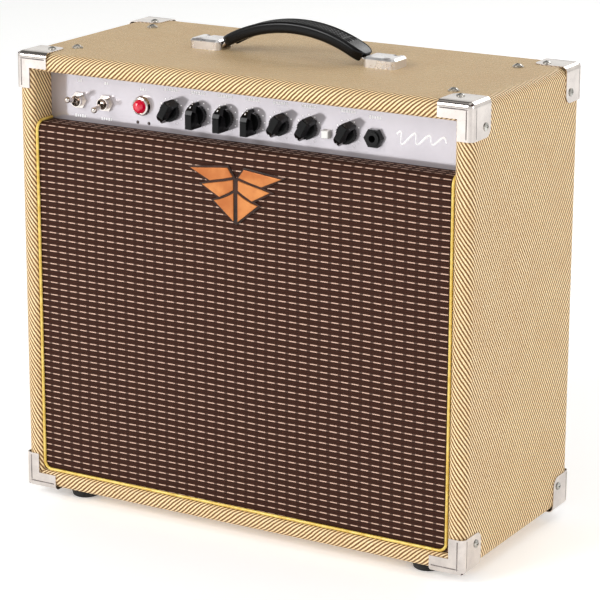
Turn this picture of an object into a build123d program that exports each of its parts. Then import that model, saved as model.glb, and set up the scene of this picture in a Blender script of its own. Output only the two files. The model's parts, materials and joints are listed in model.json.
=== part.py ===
"""Valve combo guitar amplifier, built piece by piece.

Frame: X to the right as seen from the front, Y from the front towards the back, Z up.
The origin is on the floor, under the middle of the case. All sizes are in millimetres.
"""
from build123d import *
import math
import os

os.makedirs("parts", exist_ok=True)

# ---------------------------------------------------------------- driving dimensions
CASE_WIDTH = 480.0
CASE_DEPTH = 225.0
CASE_HEIGHT = 433.0
FOOT_HEIGHT = 10.0
WALL = 17.5                # one case wall with its covering on both faces
COVER = 0.75               # thickness of the tweed covering
EDGE_RADIUS = 10.0         # outer edges of the case
MOUTH_RADIUS = 6.0         # edges of the front and back mouths
FRONT_WRAP = 30.0          # how far the covering turns into the front mouth
BACK_WRAP = 17.0           # and into the back mouth, up to the battens
GRILLE_RECESS = 5.0
PANEL_RECESS = 30.0
GRILLE_HEIGHT = 348.0
GAP = 0.3                  # clearance between pieces that are not fitted together

# ---------------------------------------------------------------- levels worked out from them
FRONT = -CASE_DEPTH / 2
BACK = CASE_DEPTH / 2
BASE = FOOT_HEIGHT
TOP = BASE + CASE_HEIGHT
MIDDLE = BASE + CASE_HEIGHT / 2
INNER_X = CASE_WIDTH / 2 - WALL
INNER_BOTTOM = BASE + WALL
INNER_TOP = TOP - WALL
PANEL_Y = FRONT + PANEL_RECESS
GRILLE_Y = FRONT + GRILLE_RECESS
GRILLE_TOP = INNER_BOTTOM + GRILLE_HEIGHT


def save(piece, name):
    """Label a finished piece and write its STEP file."""
    piece.label = name
    export_step(piece, "parts/" + name + ".step")


def facing(x, y, z, direction):
    """A plane at a point whose normal points along direction, its x along X or, on a side, Y."""
    across = (0, 1, 0) if direction[0] else (1, 0, 0)
    return Plane(origin=(x, y, z), x_dir=across, z_dir=direction)


def cut_rods(planes, radius, depth):
    """Cut a round hole from each plane inwards, into the part being built."""
    with Locations(*planes):
        Cylinder(radius, depth * 2, mode=Mode.SUBTRACT)


# ---------------------------------------------------------------- places of the fasteners
BOLT_RADIUS = 2.5
BOLT_HOLE = 2.7
BOLT_PLACES = [(x, y) for x in (-200.0, 200.0) for y in (-70.0, 60.0)]
SCREW_RADIUS = 1.7
SCREW_HOLE = 1.8
SCREW_INSET = 24.0         # corner screws, from the two edges of the face
SCREW_LENGTH = 14.0
PLATE = 1.0                # sheet thickness of the corner protectors
FOOT_X = 190.0
FOOT_Y = 84.0
HANDLE_CAP_X = 94.0

corner_screw_planes = []
for side in (-1, 1):
    for end in (-1, 1):
        for level in (-1, 1):
            flat_x = side * (CASE_WIDTH / 2 - SCREW_INSET)
            flat_y = end * (CASE_DEPTH / 2 - SCREW_INSET)
            flat_z = MIDDLE + level * (CASE_HEIGHT / 2 + PLATE)
            corner_screw_planes.append(facing(flat_x, flat_y, flat_z, (0, 0, level)))
            side_x = side * (CASE_WIDTH / 2 + PLATE)
            side_z = MIDDLE + level * (CASE_HEIGHT / 2 - SCREW_INSET)
            corner_screw_planes.append(facing(side_x, flat_y, side_z, (side, 0, 0)))

foot_screw_planes = []
for x in (-FOOT_X, FOOT_X):
    for y in (-FOOT_Y, FOOT_Y):
        foot_screw_planes.append(facing(x, y, BASE - 5.0, (0, 0, -1)))

handle_screw_planes = []
for side in (-1, 1):
    for offset in (-9.5, 9.5):
        handle_screw_planes.append(facing(side * (HANDLE_CAP_X + 7.0), offset, TOP + 2.0, (0, 0, 1)))

bolt_planes = [facing(x, y, TOP, (0, 0, 1)) for x, y in BOLT_PLACES]


def cut_case_holes():
    """Holes for every fastener that enters the case, cut from the part being built."""
    cut_rods(corner_screw_planes, SCREW_HOLE, SCREW_LENGTH + PLATE + 1.0)
    cut_rods(foot_screw_planes, SCREW_HOLE, SCREW_LENGTH + 3.0)
    cut_rods(handle_screw_planes, SCREW_HOLE, SCREW_LENGTH + 3.0)
    cut_rods(bolt_planes, BOLT_HOLE, WALL + 5.0)


# ---------------------------------------------------------------- case boards and covering
def case_ring(shrink, opening_shrink):
    """The four-walled case as one ring, its faces set back by shrink."""
    with BuildPart() as ring:
        with Locations((0, 0, MIDDLE)):
            Box(CASE_WIDTH - 2 * shrink, CASE_DEPTH - 2 * shrink, CASE_HEIGHT - 2 * shrink)
        fillet(ring.edges(), EDGE_RADIUS - shrink)
        with Locations((0, 0, MIDDLE)):
            mouth_width = 2 * INNER_X + 2 * opening_shrink
            mouth_height = CASE_HEIGHT - 2 * WALL + 2 * opening_shrink
            Box(mouth_width, CASE_DEPTH + 2, mouth_height, mode=Mode.SUBTRACT)
        for front_or_back in (0, -1):
            mouth = ring.faces().sort_by(Axis.Y)[front_or_back].inner_wires()
            fillet(mouth.edges(), MOUTH_RADIUS - opening_shrink)
    return ring.part


outer_case = case_ring(0, 0)
board_case = case_ring(COVER, COVER)

with BuildPart() as tweed_covering:
    add(outer_case)
    add(board_case, mode=Mode.SUBTRACT)
    with Locations((0, (FRONT_WRAP - BACK_WRAP) / 2, MIDDLE)):
        bare_depth = CASE_DEPTH - FRONT_WRAP - BACK_WRAP
        bare_width = 2 * INNER_X + 2 * COVER
        Box(bare_width, bare_depth, CASE_HEIGHT - 2 * WALL + 2 * COVER, mode=Mode.SUBTRACT)
    cut_case_holes()
save(tweed_covering.part, "tweed_covering")

joint_z = CASE_HEIGHT / 2 - WALL + COVER
for name, level in (("cabinet_top", 1), ("cabinet_bottom", -1)):
    with BuildPart() as board:
        add(board_case)
        with Locations((0, 0, MIDDLE + level * (joint_z + WALL))):
            Box(CASE_WIDTH, CASE_DEPTH, 2 * WALL, mode=Mode.INTERSECT)
        cut_case_holes()
    save(board.part, name)

for name, side in (("cabinet_left", -1), ("cabinet_right", 1)):
    with BuildPart() as board:
        add(board_case)
        with Locations((side * CASE_WIDTH / 2, 0, MIDDLE)):
            Box(4 * WALL, CASE_DEPTH, 2 * joint_z, mode=Mode.INTERSECT)
        cut_case_holes()
    save(board.part, name)

# ---------------------------------------------------------------- baffle, battens and grille
GRILLE_DEPTH = 9.0
CLOTH = 1.0
BAFFLE = 12.0
CLEAT = 17.0
NOSE_RADIUS = 8.0          # the roll of the cloth over the grille's top edge
SPEAKER_Z = 200.0
SPEAKER_HOLE = 141.0
SCREW_CIRCLE = 149.5       # radius of the loudspeaker's ring of screws
BAFFLE_TOP = 370.0
BAFFLE_Y = GRILLE_Y + GRILLE_DEPTH
BAFFLE_BACK = BAFFLE_Y + BAFFLE
BACK_PANEL = 9.0
BACK_PANEL_Y = BACK - 8.0 - BACK_PANEL
BOARD_X = INNER_X + COVER
SHELF_LOW = BAFFLE_TOP + 0.6
SHELF_BACK = PANEL_Y - 0.3

with BuildPart() as baffle_board:
    with Locations((0, BAFFLE_Y + BAFFLE / 2, (INNER_BOTTOM + BAFFLE_TOP) / 2)):
        Box(2 * INNER_X - 2 * GAP, BAFFLE, BAFFLE_TOP - INNER_BOTTOM - GAP)
    with Locations(facing(0, BAFFLE_Y, SPEAKER_Z, (0, -1, 0))):
        Cylinder(SPEAKER_HOLE, 3 * BAFFLE, mode=Mode.SUBTRACT)
    with Locations(facing(0, BAFFLE_BACK, SPEAKER_Z, (0, 1, 0))):
        with PolarLocations(SCREW_CIRCLE, 8, start_angle=22.5):
            Cylinder(SCREW_HOLE, 2 * BAFFLE - 2, mode=Mode.SUBTRACT)
save(baffle_board.part, "baffle_board")

def grille_block(inset):
    """The grille's form set in by inset: an upright slab whose rounded top runs back as a shelf."""
    half = INNER_X - GAP - inset
    low = INNER_BOTTOM + GAP + inset
    high = GRILLE_TOP - inset
    front = GRILLE_Y + inset
    nose = NOSE_RADIUS - inset
    bulge = nose * (1 - math.sqrt(0.5))
    with BuildPart() as block:
        with BuildSketch(Plane.YZ.offset(-half)):
            with BuildLine():
                Polyline((BAFFLE_Y, low), (front, low), (front, high - nose))
                ThreePointArc((front, high - nose), (front + bulge, high - bulge), (front + nose, high))
                Polyline(
                    (front + nose, high), (SHELF_BACK, high), (SHELF_BACK, SHELF_LOW),
                    (BAFFLE_Y, SHELF_LOW), (BAFFLE_Y, low),
                )
            make_face()
        extrude(amount=2 * half)
    return block.part


with BuildPart() as grille_frame:
    add(grille_block(CLOTH))
    with Locations((0, BAFFLE_Y, (INNER_BOTTOM + GRILLE_TOP) / 2)):
        Box(2 * INNER_X - 50, 30, GRILLE_HEIGHT - 50, mode=Mode.SUBTRACT)
    with Locations((0, GRILLE_Y + CLOTH + 4, (INNER_BOTTOM + GRILLE_TOP) / 2)):
        Box(24, 8, GRILLE_HEIGHT - 40)
save(grille_frame.part, "grille_frame")

with BuildPart() as grille_cloth:
    add(grille_block(0))
    add(grille_block(CLOTH), mode=Mode.SUBTRACT)
save(grille_cloth.part, "grille_cloth")

# The piping runs up both sides, over the rounded top and back to the panel, in one length.
PIPING_RADIUS = 1.4
PIPING_BEND = 8.0
lift = PIPING_RADIUS + 0.1
piping_x = INNER_X - lift
piping_y = GRILLE_Y - lift
piping_low = INNER_BOTTOM + lift
piping_high = GRILLE_TOP + lift
nose_bend = NOSE_RADIUS + lift
half_turn = 1 - math.sqrt(0.5)
piping_end = SHELF_BACK - 1.5
with BuildPart() as grille_piping:
    with BuildLine() as route:
        for side in (-1, 1):
            edge = side * piping_x
            Line((edge, piping_end, piping_high), (edge, piping_y + nose_bend, piping_high))
            ThreePointArc(
                (edge, piping_y + nose_bend, piping_high),
                (edge, piping_y + nose_bend * half_turn, piping_high - nose_bend * half_turn),
                (edge, piping_y, piping_high - nose_bend),
            )
            Line((edge, piping_y, piping_high - nose_bend), (edge, piping_y, piping_low + PIPING_BEND))
            ThreePointArc(
                (edge, piping_y, piping_low + PIPING_BEND),
                (edge - side * PIPING_BEND * half_turn, piping_y, piping_low + PIPING_BEND * half_turn),
                (edge - side * PIPING_BEND, piping_y, piping_low),
            )
        Line((-piping_x + PIPING_BEND, piping_y, piping_low), (piping_x - PIPING_BEND, piping_y, piping_low))
    with BuildSketch(Plane(origin=(-piping_x, piping_end, piping_high), z_dir=(0, -1, 0))):
        Circle(PIPING_RADIUS)
    sweep(path=route.wires()[0])
save(grille_piping.part, "grille_piping")

# The ornament on the grille: a plain double wing of cast metal, bedded flat on the cloth.
BADGE_Z = BASE + 322.0
BADGE_DEPTH = 3.0
badge_outline = [
    (-52.0, 22.0), (-8.0, 27.0), (0.0, 16.0), (8.0, 27.0), (52.0, 22.0), (30.0, 10.0),
    (40.0, 7.0), (20.0, -4.0), (27.0, -7.0), (0.0, -28.0), (-27.0, -7.0), (-20.0, -4.0),
    (-40.0, 7.0), (-30.0, 10.0),
]
with BuildPart() as front_badge:
    with BuildSketch(facing(0, GRILLE_Y - 0.1, BADGE_Z, (0, -1, 0))):
        with BuildLine():
            Polyline(*badge_outline, close=True)
        make_face()
    extrude(amount=BADGE_DEPTH)
    chamfer(front_badge.faces().sort_by(Axis.Y)[0].edges(), 0.8)
save(front_badge.part, "front_badge")

# ---------------------------------------------------------------- corner protectors
PROTECTOR = 34.0           # length of each plate from the corner
ARM = 14.5                 # width of the two arms on the front and back faces
PROTECTOR_RADIUS = 5.5


def protector_block(offset):
    """The corner's outer form at the top front right, its faces moved out by offset."""
    x_face = CASE_WIDTH / 2 + offset
    y_face = FRONT - offset
    z_face = TOP + offset
    size = PROTECTOR + offset
    radius = PROTECTOR_RADIUS - PLATE + offset
    with BuildPart() as block:
        with Locations((x_face, y_face, z_face)):
            Box(size, size, size, align=(Align.MAX, Align.MIN, Align.MAX))
        outer = block.faces().sort_by(Axis.X)[-1:] + block.faces().sort_by(Axis.Y)[:1]
        outer = outer + block.faces().sort_by(Axis.Z)[-1:]
        ridges = [
            edge for edge in block.edges()
            if sum(1 for face in outer if edge.center() in [e.center() for e in face.edges()]) == 2
        ]
        fillet(ridges, radius)
    return block.part


with BuildPart() as protector:
    add(protector_block(PLATE))
    add(protector_block(0.05), mode=Mode.SUBTRACT)
    notch = PROTECTOR - ARM
    with Locations((CASE_WIDTH / 2 - ARM - notch, FRONT, TOP - ARM)):
        Box(2 * notch, 12.0, 2 * notch, align=(Align.CENTER, Align.CENTER, Align.MAX), mode=Mode.SUBTRACT)
    far_tips = [
        edge for edge in protector.edges().filter_by(GeomType.LINE)
        if edge.length < PLATE + 0.1 and edge.center().Y > FRONT + PROTECTOR - 1.0
        and (edge.center().Z < TOP - PROTECTOR + 1.0 or edge.center().X < CASE_WIDTH / 2 - PROTECTOR + 1.0)
    ]
    fillet(far_tips, 9.0)
protector_shape = protector.part

protectors = []
for side in (-1, 1):
    for end in (-1, 1):
        for level in (-1, 1):
            piece = protector_shape
            if side < 0:
                piece = piece.mirror(Plane.YZ)
            if end > 0:
                piece = piece.mirror(Plane.XZ)
            if level < 0:
                piece = piece.mirror(Plane.XY.offset(MIDDLE))
            protectors.append(piece)
with BuildPart() as corner_protectors:
    add(protectors)
    cut_rods(corner_screw_planes, SCREW_HOLE, 3.0)
save(corner_protectors.part, "corner_protectors")


def pan_head_screw(head_radius, head_height, shank_radius, shank_length):
    """A round-headed cross-slot screw along +Z, its seat on the origin plane."""
    with BuildPart() as screw:
        with BuildSketch(Plane.XZ):
            with BuildLine():
                Line((0, -shank_length), (shank_radius, -shank_length))
                Line((shank_radius, -shank_length), (shank_radius, 0))
                Line((shank_radius, 0), (head_radius, 0))
                Line((head_radius, 0), (head_radius, 0.35 * head_height))
                RadiusArc((head_radius, 0.35 * head_height), (0, head_height), -1.7 * head_radius)
                Line((0, head_height), (0, -shank_length))
            make_face()
        revolve(axis=Axis.Z)
        for turn in (0, 90):
            with Locations(Location((0, 0, head_height), (0, 0, turn))):
                Box(1.1 * head_radius, 0.24 * head_radius, head_height, mode=Mode.SUBTRACT)
    return screw.part


case_screw = pan_head_screw(3.9, 2.0, SCREW_RADIUS, SCREW_LENGTH)
with BuildPart() as case_screws:
    for plane in corner_screw_planes:
        outward = Plane(origin=plane.origin + plane.z_dir * 0.02, z_dir=plane.z_dir)
        with Locations(outward):
            add(case_screw)
    for plane in foot_screw_planes:
        with Locations(plane):
            add(case_screw)
save(case_screws.part, "case_screws")

with BuildPart() as rubber_feet:
    for x in (-FOOT_X, FOOT_X):
        for y in (-FOOT_Y, FOOT_Y):
            with Locations((x, y, 0)):
                Cone(13.0, 15.5, FOOT_HEIGHT, align=(Align.CENTER, Align.CENTER, Align.MIN))
    fillet(rubber_feet.edges().group_by(Axis.Z)[0], 2.0)
    cut_rods(foot_screw_planes, SCREW_HOLE, 8.0)
    with Locations(*[(p.origin.X, p.origin.Y, 0) for p in foot_screw_planes]):
        Cylinder(5.0, 2 * (BASE - 5.0), mode=Mode.SUBTRACT)
save(rubber_feet.part, "rubber_feet")

# ---------------------------------------------------------------- handle
CAP_LENGTH = 33.0
CAP_WIDTH = 27.0
CAP_HEIGHT = 9.5
CAP_SHEET = 1.4
STRAP_HALF = 75.0
STRAP_WIDTH = 25.0
STRAP_RISE = 21.5          # arch of the strap's centre line above its ends
STRAP_END_Z = TOP + 7.0    # centre line of the strap at its ends
STRAP_THICKNESS = 11.0
LINK_RADIUS = 1.6

arch_radius = (STRAP_HALF ** 2 + STRAP_RISE ** 2) / (2 * STRAP_RISE)
arch_centre = STRAP_END_Z + STRAP_RISE - arch_radius
arch_angle = math.degrees(math.asin(STRAP_HALF / arch_radius))

with BuildPart() as handle_strap:
    with BuildSketch(Plane(origin=(0, 0, arch_centre), x_dir=(0, 1, 0), z_dir=(1, 0, 0))):
        with Locations((0, arch_radius)):
            RectangleRounded(STRAP_WIDTH, STRAP_THICKNESS, 3.2)
    revolve(axis=Axis((0, 0, arch_centre), (0, 1, 0)), revolution_arc=arch_angle)
    mirror(about=Plane.YZ)
    with BuildSketch(Plane.XY.offset(TOP - 5)) as plan:
        RectangleRounded(2 * STRAP_HALF, STRAP_WIDTH, 10.5)
    extrude(amount=60, mode=Mode.INTERSECT)
    for side in (-1, 1):
        slot_place = Location((side * (STRAP_HALF - 8.0), 0, TOP + 13.6), (0, side * 29, 0))
        with Locations(slot_place):
            Box(24.0, 16.4, 16.0, align=(Align.CENTER, Align.CENTER, Align.MAX), mode=Mode.SUBTRACT)
save(handle_strap.part, "handle_strap")

LINK_HALF = 6.0            # half the width of the link's loop
link_shapes = []
for side in (-1, 1):
    with BuildPart() as link:
        with BuildLine() as loop:
            FilletPolyline(
                (side * 92.0, LINK_HALF, TOP + 3.2),
                (side * 79.0, LINK_HALF, TOP + 3.2),
                (side * 69.0, LINK_HALF, TOP + 10.5),
                (side * 69.0, -LINK_HALF, TOP + 10.5),
                (side * 79.0, -LINK_HALF, TOP + 3.2),
                (side * 92.0, -LINK_HALF, TOP + 3.2),
                radius=2.4,
            )
        with BuildSketch(Plane(origin=loop.line @ 0, z_dir=loop.line % 0)):
            Circle(LINK_RADIUS)
        sweep(path=loop.line)
    link_shapes.append(link.part)
with BuildPart() as handle_links:
    add(link_shapes)
save(handle_links.part, "handle_links")

for name, side in (("handle_cap_left", -1), ("handle_cap_right", 1)):
    with BuildPart() as cap:
        with Locations((side * HANDLE_CAP_X, 0, TOP)):
            Box(CAP_LENGTH, CAP_WIDTH, CAP_HEIGHT, align=(Align.CENTER, Align.CENTER, Align.MIN))
        fillet(cap.edges().filter_by(Axis.Z), 4.0)
        chamfer(cap.faces().sort_by(Axis.Z)[-1].edges(), 2.0)
        inner_length = CAP_LENGTH / 2 + 3.0
        with Locations((side * (HANDLE_CAP_X - CAP_LENGTH / 2 - 1.0), 0, TOP - 0.1)):
            hollow = (Align.MIN if side > 0 else Align.MAX, Align.CENTER, Align.MIN)
            Box(inner_length, 17.0, CAP_HEIGHT - CAP_SHEET, align=hollow, mode=Mode.SUBTRACT)
        for plane in handle_screw_planes:
            if plane.origin.X * side > 0:
                with Locations(plane):
                    Cylinder(SCREW_HOLE, 30.0, mode=Mode.SUBTRACT)
                with Locations((plane.origin.X, plane.origin.Y, plane.origin.Z)):
                    Cylinder(3.2, 20.0, align=(Align.CENTER, Align.CENTER, Align.MIN), mode=Mode.SUBTRACT)
    save(cap.part, name)

handle_screw = pan_head_screw(3.0, 1.8, SCREW_RADIUS, SCREW_LENGTH)
with BuildPart() as handle_screws:
    for plane in handle_screw_planes:
        with Locations(plane):
            add(handle_screw)
save(handle_screws.part, "handle_screws")

# ---------------------------------------------------------------- chassis
SHEET = 1.5
FACEPLATE = 1.0
TRAY_HALF = INNER_X - 2.0
TRAY_FRONT = PANEL_Y + FACEPLATE
TRAY_BACK = 82.0
TRAY_LOW = BASE + 361.0
TRAY_HIGH = INNER_TOP - GAP
FLANGE = 25.0
CONTROL_Z = BASE + 386.5

knobs = [
    ("reverb", -86.5, -150.0),
    ("treble", -57.0, 0.0),
    ("middle", -27.5, 0.0),
    ("bass", 2.0, 0.0),
    ("post", 31.5, -150.0),
    ("pre", 61.0, -150.0),
    ("volume", 101.5, -150.0),
]
TOGGLES = [("power_lever", -189.0, 12.0), ("standby_lever", -159.0, -12.0)]
JEWEL_X = -117.5
JEWEL_Z = CONTROL_Z + 2.0
LED_PLACES = [(-124.0, BASE + 372.0), (-111.5, BASE + 372.0)]
BUTTON_X = 80.0
BUTTON_Z = CONTROL_Z - 3.0
JACK_X = 129.0
JACK_Z = CONTROL_Z - 1.0
REAR_Z = BASE + 388.0
REAR_JACKS = [-60.0, -20.0, 20.0]
INLET_X = 165.0
FUSE_X = 118.0

POT_HOLE = 3.6
TOGGLE_HOLE = 6.1
JEWEL_HOLE = 6.1
LED_HOLE = 1.6
BUTTON_HOLE = 7.8
JACK_HOLE = 5.6
FUSE_HOLE = 6.1


def cut_front_holes():
    """Every control's hole through the panel and the chassis front."""
    def hole(x, z, radius):
        with Locations(facing(x, TRAY_FRONT, z, (0, -1, 0))):
            Cylinder(radius, 12.0, mode=Mode.SUBTRACT)
    for _, x, _ in knobs:
        hole(x, CONTROL_Z, POT_HOLE)
    for _, x, _ in TOGGLES:
        hole(x, CONTROL_Z, TOGGLE_HOLE)
    hole(JEWEL_X, JEWEL_Z, JEWEL_HOLE)
    for x, z in LED_PLACES:
        hole(x, z, LED_HOLE)
    hole(JACK_X, JACK_Z, JACK_HOLE)
    with Locations((BUTTON_X, TRAY_FRONT, BUTTON_Z)):
        Box(BUTTON_HOLE, 12.0, BUTTON_HOLE, mode=Mode.SUBTRACT)


TUBE_Y = 48.0
POWER_TUBES = [-95.0, -55.0]
PREAMP_TUBES = [-10.0, 28.0, 66.0]
with BuildPart() as chassis_tray:
    tray_depth = TRAY_BACK - TRAY_FRONT
    tray_y = (TRAY_BACK + TRAY_FRONT) / 2
    tray_z = (TRAY_LOW + TRAY_HIGH) / 2
    with Locations((0, tray_y, tray_z)):
        Box(2 * TRAY_HALF, tray_depth, TRAY_HIGH - TRAY_LOW)
    fillet(chassis_tray.edges().filter_by(Axis.X).sort_by(Axis.Z)[:2], 2.0)
    with Locations((0, tray_y, tray_z)):
        inner_height = TRAY_HIGH - TRAY_LOW - 2 * SHEET
        Box(2 * TRAY_HALF - 2 * SHEET, tray_depth - 2 * SHEET, inner_height, mode=Mode.SUBTRACT)
    with Locations((0, tray_y, TRAY_HIGH)):
        Box(2 * TRAY_HALF - 2 * FLANGE, tray_depth - 2 * FLANGE, 8.0, mode=Mode.SUBTRACT)
    cut_rods(bolt_planes, BOLT_HOLE, WALL + 5.0)
    cut_front_holes()
    for x in REAR_JACKS:
        with Locations(facing(x, TRAY_BACK, REAR_Z, (0, 1, 0))):
            Cylinder(JACK_HOLE, 12.0, mode=Mode.SUBTRACT)
    with Locations(facing(FUSE_X, TRAY_BACK, REAR_Z, (0, 1, 0))):
        Cylinder(FUSE_HOLE, 12.0, mode=Mode.SUBTRACT)
    with Locations((INLET_X, TRAY_BACK, REAR_Z)):
        Box(28.0, 12.0, 21.0, mode=Mode.SUBTRACT)
    with Locations(*[(x, TUBE_Y, TRAY_LOW) for x in POWER_TUBES + PREAMP_TUBES]):
        Cylinder(9.3, 8.0, mode=Mode.SUBTRACT)
save(chassis_tray.part, "chassis_tray")

with BuildPart() as control_panel:
    panel_low = TRAY_LOW + 1.0
    with Locations((0, PANEL_Y + FACEPLATE / 2, (panel_low + INNER_TOP - GAP) / 2)):
        Box(2 * INNER_X - GAP, FACEPLATE, INNER_TOP - GAP - panel_low)
    cut_front_holes()
save(control_panel.part, "control_panel")

BOLT_HEAD = 4.0
WASHER_RADIUS = 5.2
NUT_RADIUS = 4.6
with BuildPart() as chassis_bolts:
    bolt = pan_head_screw(BOLT_HEAD, 2.6, BOLT_RADIUS, WALL + 9.0)
    for x, y in BOLT_PLACES:
        with Locations((x, y, TOP + 1.0)):
            add(bolt)
        with Locations((x, y, TOP + 0.02)):
            Cylinder(WASHER_RADIUS, 0.96, align=(Align.CENTER, Align.CENTER, Align.MIN))
        with BuildSketch(Plane.XY.offset(TRAY_HIGH - SHEET - 0.05)):
            with Locations((x, y)):
                RegularPolygon(NUT_RADIUS, 6)
        extrude(amount=-4.0)
save(chassis_bolts.part, "chassis_bolts")

BOARD_Z = TRAY_LOW + SHEET + 6.0
with BuildPart() as circuit_board:
    with Locations((0, -5.0, BOARD_Z)):
        Box(330.0, 84.0, 1.6)
    for x in (-150.0, 0.0, 150.0):
        for y in (-40.0, 30.0):
            with Locations((x, y, TRAY_LOW + SHEET)):
                Cylinder(2.5, BOARD_Z - TRAY_LOW - SHEET, align=(Align.CENTER, Align.CENTER, Align.MIN))
    with Locations(*[(x, 12.0, BOARD_Z + 0.8) for x in range(-140, 61, 20)]):
        Box(12.0, 5.0, 5.0, align=(Align.CENTER, Align.CENTER, Align.MIN))
save(circuit_board.part, "circuit_board")

with BuildPart() as filter_capacitors:
    with Locations(*[(x, -8.0, BOARD_Z + 0.9) for x in (86.0, 108.0, 130.0, 152.0)]):
        Cylinder(9.0, 32.0, align=(Align.CENTER, Align.CENTER, Align.MIN))
    fillet(filter_capacitors.edges().group_by(Axis.Z)[-1], 1.2)
save(filter_capacitors.part, "filter_capacitors")


def transformer(x, y, width, depth, height):
    """A laminated core hung under the chassis, with end bells front and back."""
    with BuildPart() as shape:
        with Locations((x, y, TRAY_LOW - 0.05)):
            Box(width, 0.4 * depth, height, align=(Align.CENTER, Align.CENTER, Align.MAX))
        with Locations((x, y, TRAY_LOW - 0.05 - height / 2)):
            Box(0.78 * width, depth, 0.74 * height)
        fillet(shape.faces().sort_by(Axis.Y)[0].edges(), 5.0)
        fillet(shape.faces().sort_by(Axis.Y)[-1].edges(), 5.0)
    return shape.part


save(transformer(165.0, 22.0, 76.0, 62.0, 64.0), "power_transformer")
save(transformer(-165.0, 22.0, 58.0, 48.0, 48.0), "output_transformer")

SOCKET_DROP = 10.0
with BuildPart() as tube_sockets:
    for x in POWER_TUBES + PREAMP_TUBES:
        with Locations((x, TUBE_Y, TRAY_LOW - SOCKET_DROP)):
            Cylinder(12.5, SOCKET_DROP - 0.05, align=(Align.CENTER, Align.CENTER, Align.MIN))
        with Locations((x, TUBE_Y, TRAY_LOW - 1.0)):
            Cylinder(9.0, 6.0, align=(Align.CENTER, Align.CENTER, Align.MIN))
save(tube_sockets.part, "tube_sockets")


def glass_tube(length):
    """A nine-pin valve hanging down, its base on the origin plane."""
    radius = 10.8
    with BuildPart() as tube:
        with BuildSketch(Plane.XZ):
            with BuildLine():
                Line((0, 0), (radius - 1.5, 0))
                RadiusArc((radius - 1.5, 0), (radius, -1.5), 1.5)
                Line((radius, -1.5), (radius, -length + 12))
                RadiusArc((radius, -length + 12), (2.4, -length + 4), 11.0)
                Line((2.4, -length + 4), (0, -length))
                Line((0, -length), (0, 0))
            make_face()
        revolve(axis=Axis.Z)
    return tube.part


for name, places, length in (("power_tubes", POWER_TUBES, 70.0), ("preamp_tubes", PREAMP_TUBES, 48.0)):
    with BuildPart() as tubes:
        with Locations(*[(x, TUBE_Y, TRAY_LOW - SOCKET_DROP - 0.05) for x in places]):
            add(glass_tube(length))
    save(tubes.part, name)

# ---------------------------------------------------------------- potentiometers and knobs
SHAFT_RADIUS = 3.0
SHAFT_BORE = 3.05
BUSHING_RADIUS = 3.5
KNOB_HEIGHT = 17.0
KNOB_GAP = 0.8
KNOB_RADIUS = 9.5

with BuildPart() as pot_master:
    with BuildSketch(Plane.XZ.offset(-(PANEL_Y + FACEPLATE + SHEET))):
        Circle(8.3)
    extrude(amount=-9.0)
    with BuildSketch(Plane.XZ.offset(-(PANEL_Y + FACEPLATE + SHEET))):
        Circle(BUSHING_RADIUS)
    extrude(amount=FACEPLATE + SHEET + 3.0)
    with BuildSketch(Plane.XZ.offset(-(PANEL_Y - 0.02))):
        RegularPolygon(5.8, 6)
    extrude(amount=2.0)
    with BuildSketch(Plane.XZ.offset(-(PANEL_Y - 4.0))):
        Circle(SHAFT_BORE)
    extrude(amount=-(KNOB_GAP + 9.0), mode=Mode.SUBTRACT)
with BuildPart() as potentiometers:
    with Locations(*[(x, 0, CONTROL_Z) for _, x, _ in knobs]):
        add(pot_master.part)
save(potentiometers.part, "potentiometers")

BEAK = 12.0
TAIL = 11.4
NOSE_START = 1.5            # height of the grip's flat front before it curves down to the beak
GRIP_HALF = 3.3
with BuildPart() as knob_master:
    with BuildSketch(Plane.XZ):
        Circle(KNOB_RADIUS)
    extrude(amount=5.0)
    with BuildSketch(Plane.XZ):
        with PolarLocations(KNOB_RADIUS + 0.35, 24):
            Circle(0.8)
    extrude(amount=5.0, mode=Mode.SUBTRACT)
    with BuildSketch(Plane.XZ):
        with BuildLine():
            Line((-1.2, BEAK), (1.2, BEAK))
            Line((1.2, BEAK), (5.0, 2.5))
            RadiusArc((5.0, 2.5), (5.0, -6.0), 9.5)
            Line((5.0, -6.0), (3.8, -TAIL))
            Line((3.8, -TAIL), (-3.8, -TAIL))
            Line((-3.8, -TAIL), (-5.0, -6.0))
            RadiusArc((-5.0, -6.0), (-5.0, 2.5), 9.5)
            Line((-5.0, 2.5), (-1.2, BEAK))
        make_face()
    extrude(amount=KNOB_HEIGHT)
    with BuildSketch(Plane.YZ):
        with BuildLine():
            ThreePointArc((-KNOB_HEIGHT, NOSE_START), (-12.6, 9.0), (-4.5, BEAK + 0.2))
            Polyline(
                (-4.5, BEAK + 0.2), (-4.5, BEAK + 3), (-KNOB_HEIGHT - 1, BEAK + 3),
                (-KNOB_HEIGHT - 1, NOSE_START), (-KNOB_HEIGHT, NOSE_START),
            )
        make_face()
    extrude(amount=12.0, both=True, mode=Mode.SUBTRACT)
    for side in (-1, 1):
        with BuildSketch(Plane.XY):
            with BuildLine():
                Polyline(
                    (side * 5.6, -5.2), (side * GRIP_HALF, -KNOB_HEIGHT - 0.5), (side * 8, -KNOB_HEIGHT - 0.5),
                    (side * 8, -5.2), close=True,
                )
            make_face()
        extrude(amount=16.0, both=True, mode=Mode.SUBTRACT)
    fillet(knob_master.faces().sort_by(Axis.Y)[0].edges(), 0.6)
    with BuildSketch(Plane.XZ):
        Circle(7.0)
    extrude(amount=3.2, mode=Mode.SUBTRACT)
    with BuildSketch(Plane.XZ):
        Circle(SHAFT_BORE)
    extrude(amount=13.0, mode=Mode.SUBTRACT)

with BuildPart() as shaft_master:
    with BuildSketch(Plane.XZ.offset(-6.0)):
        Circle(SHAFT_RADIUS)
    extrude(amount=6.0 + 12.5)

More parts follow.
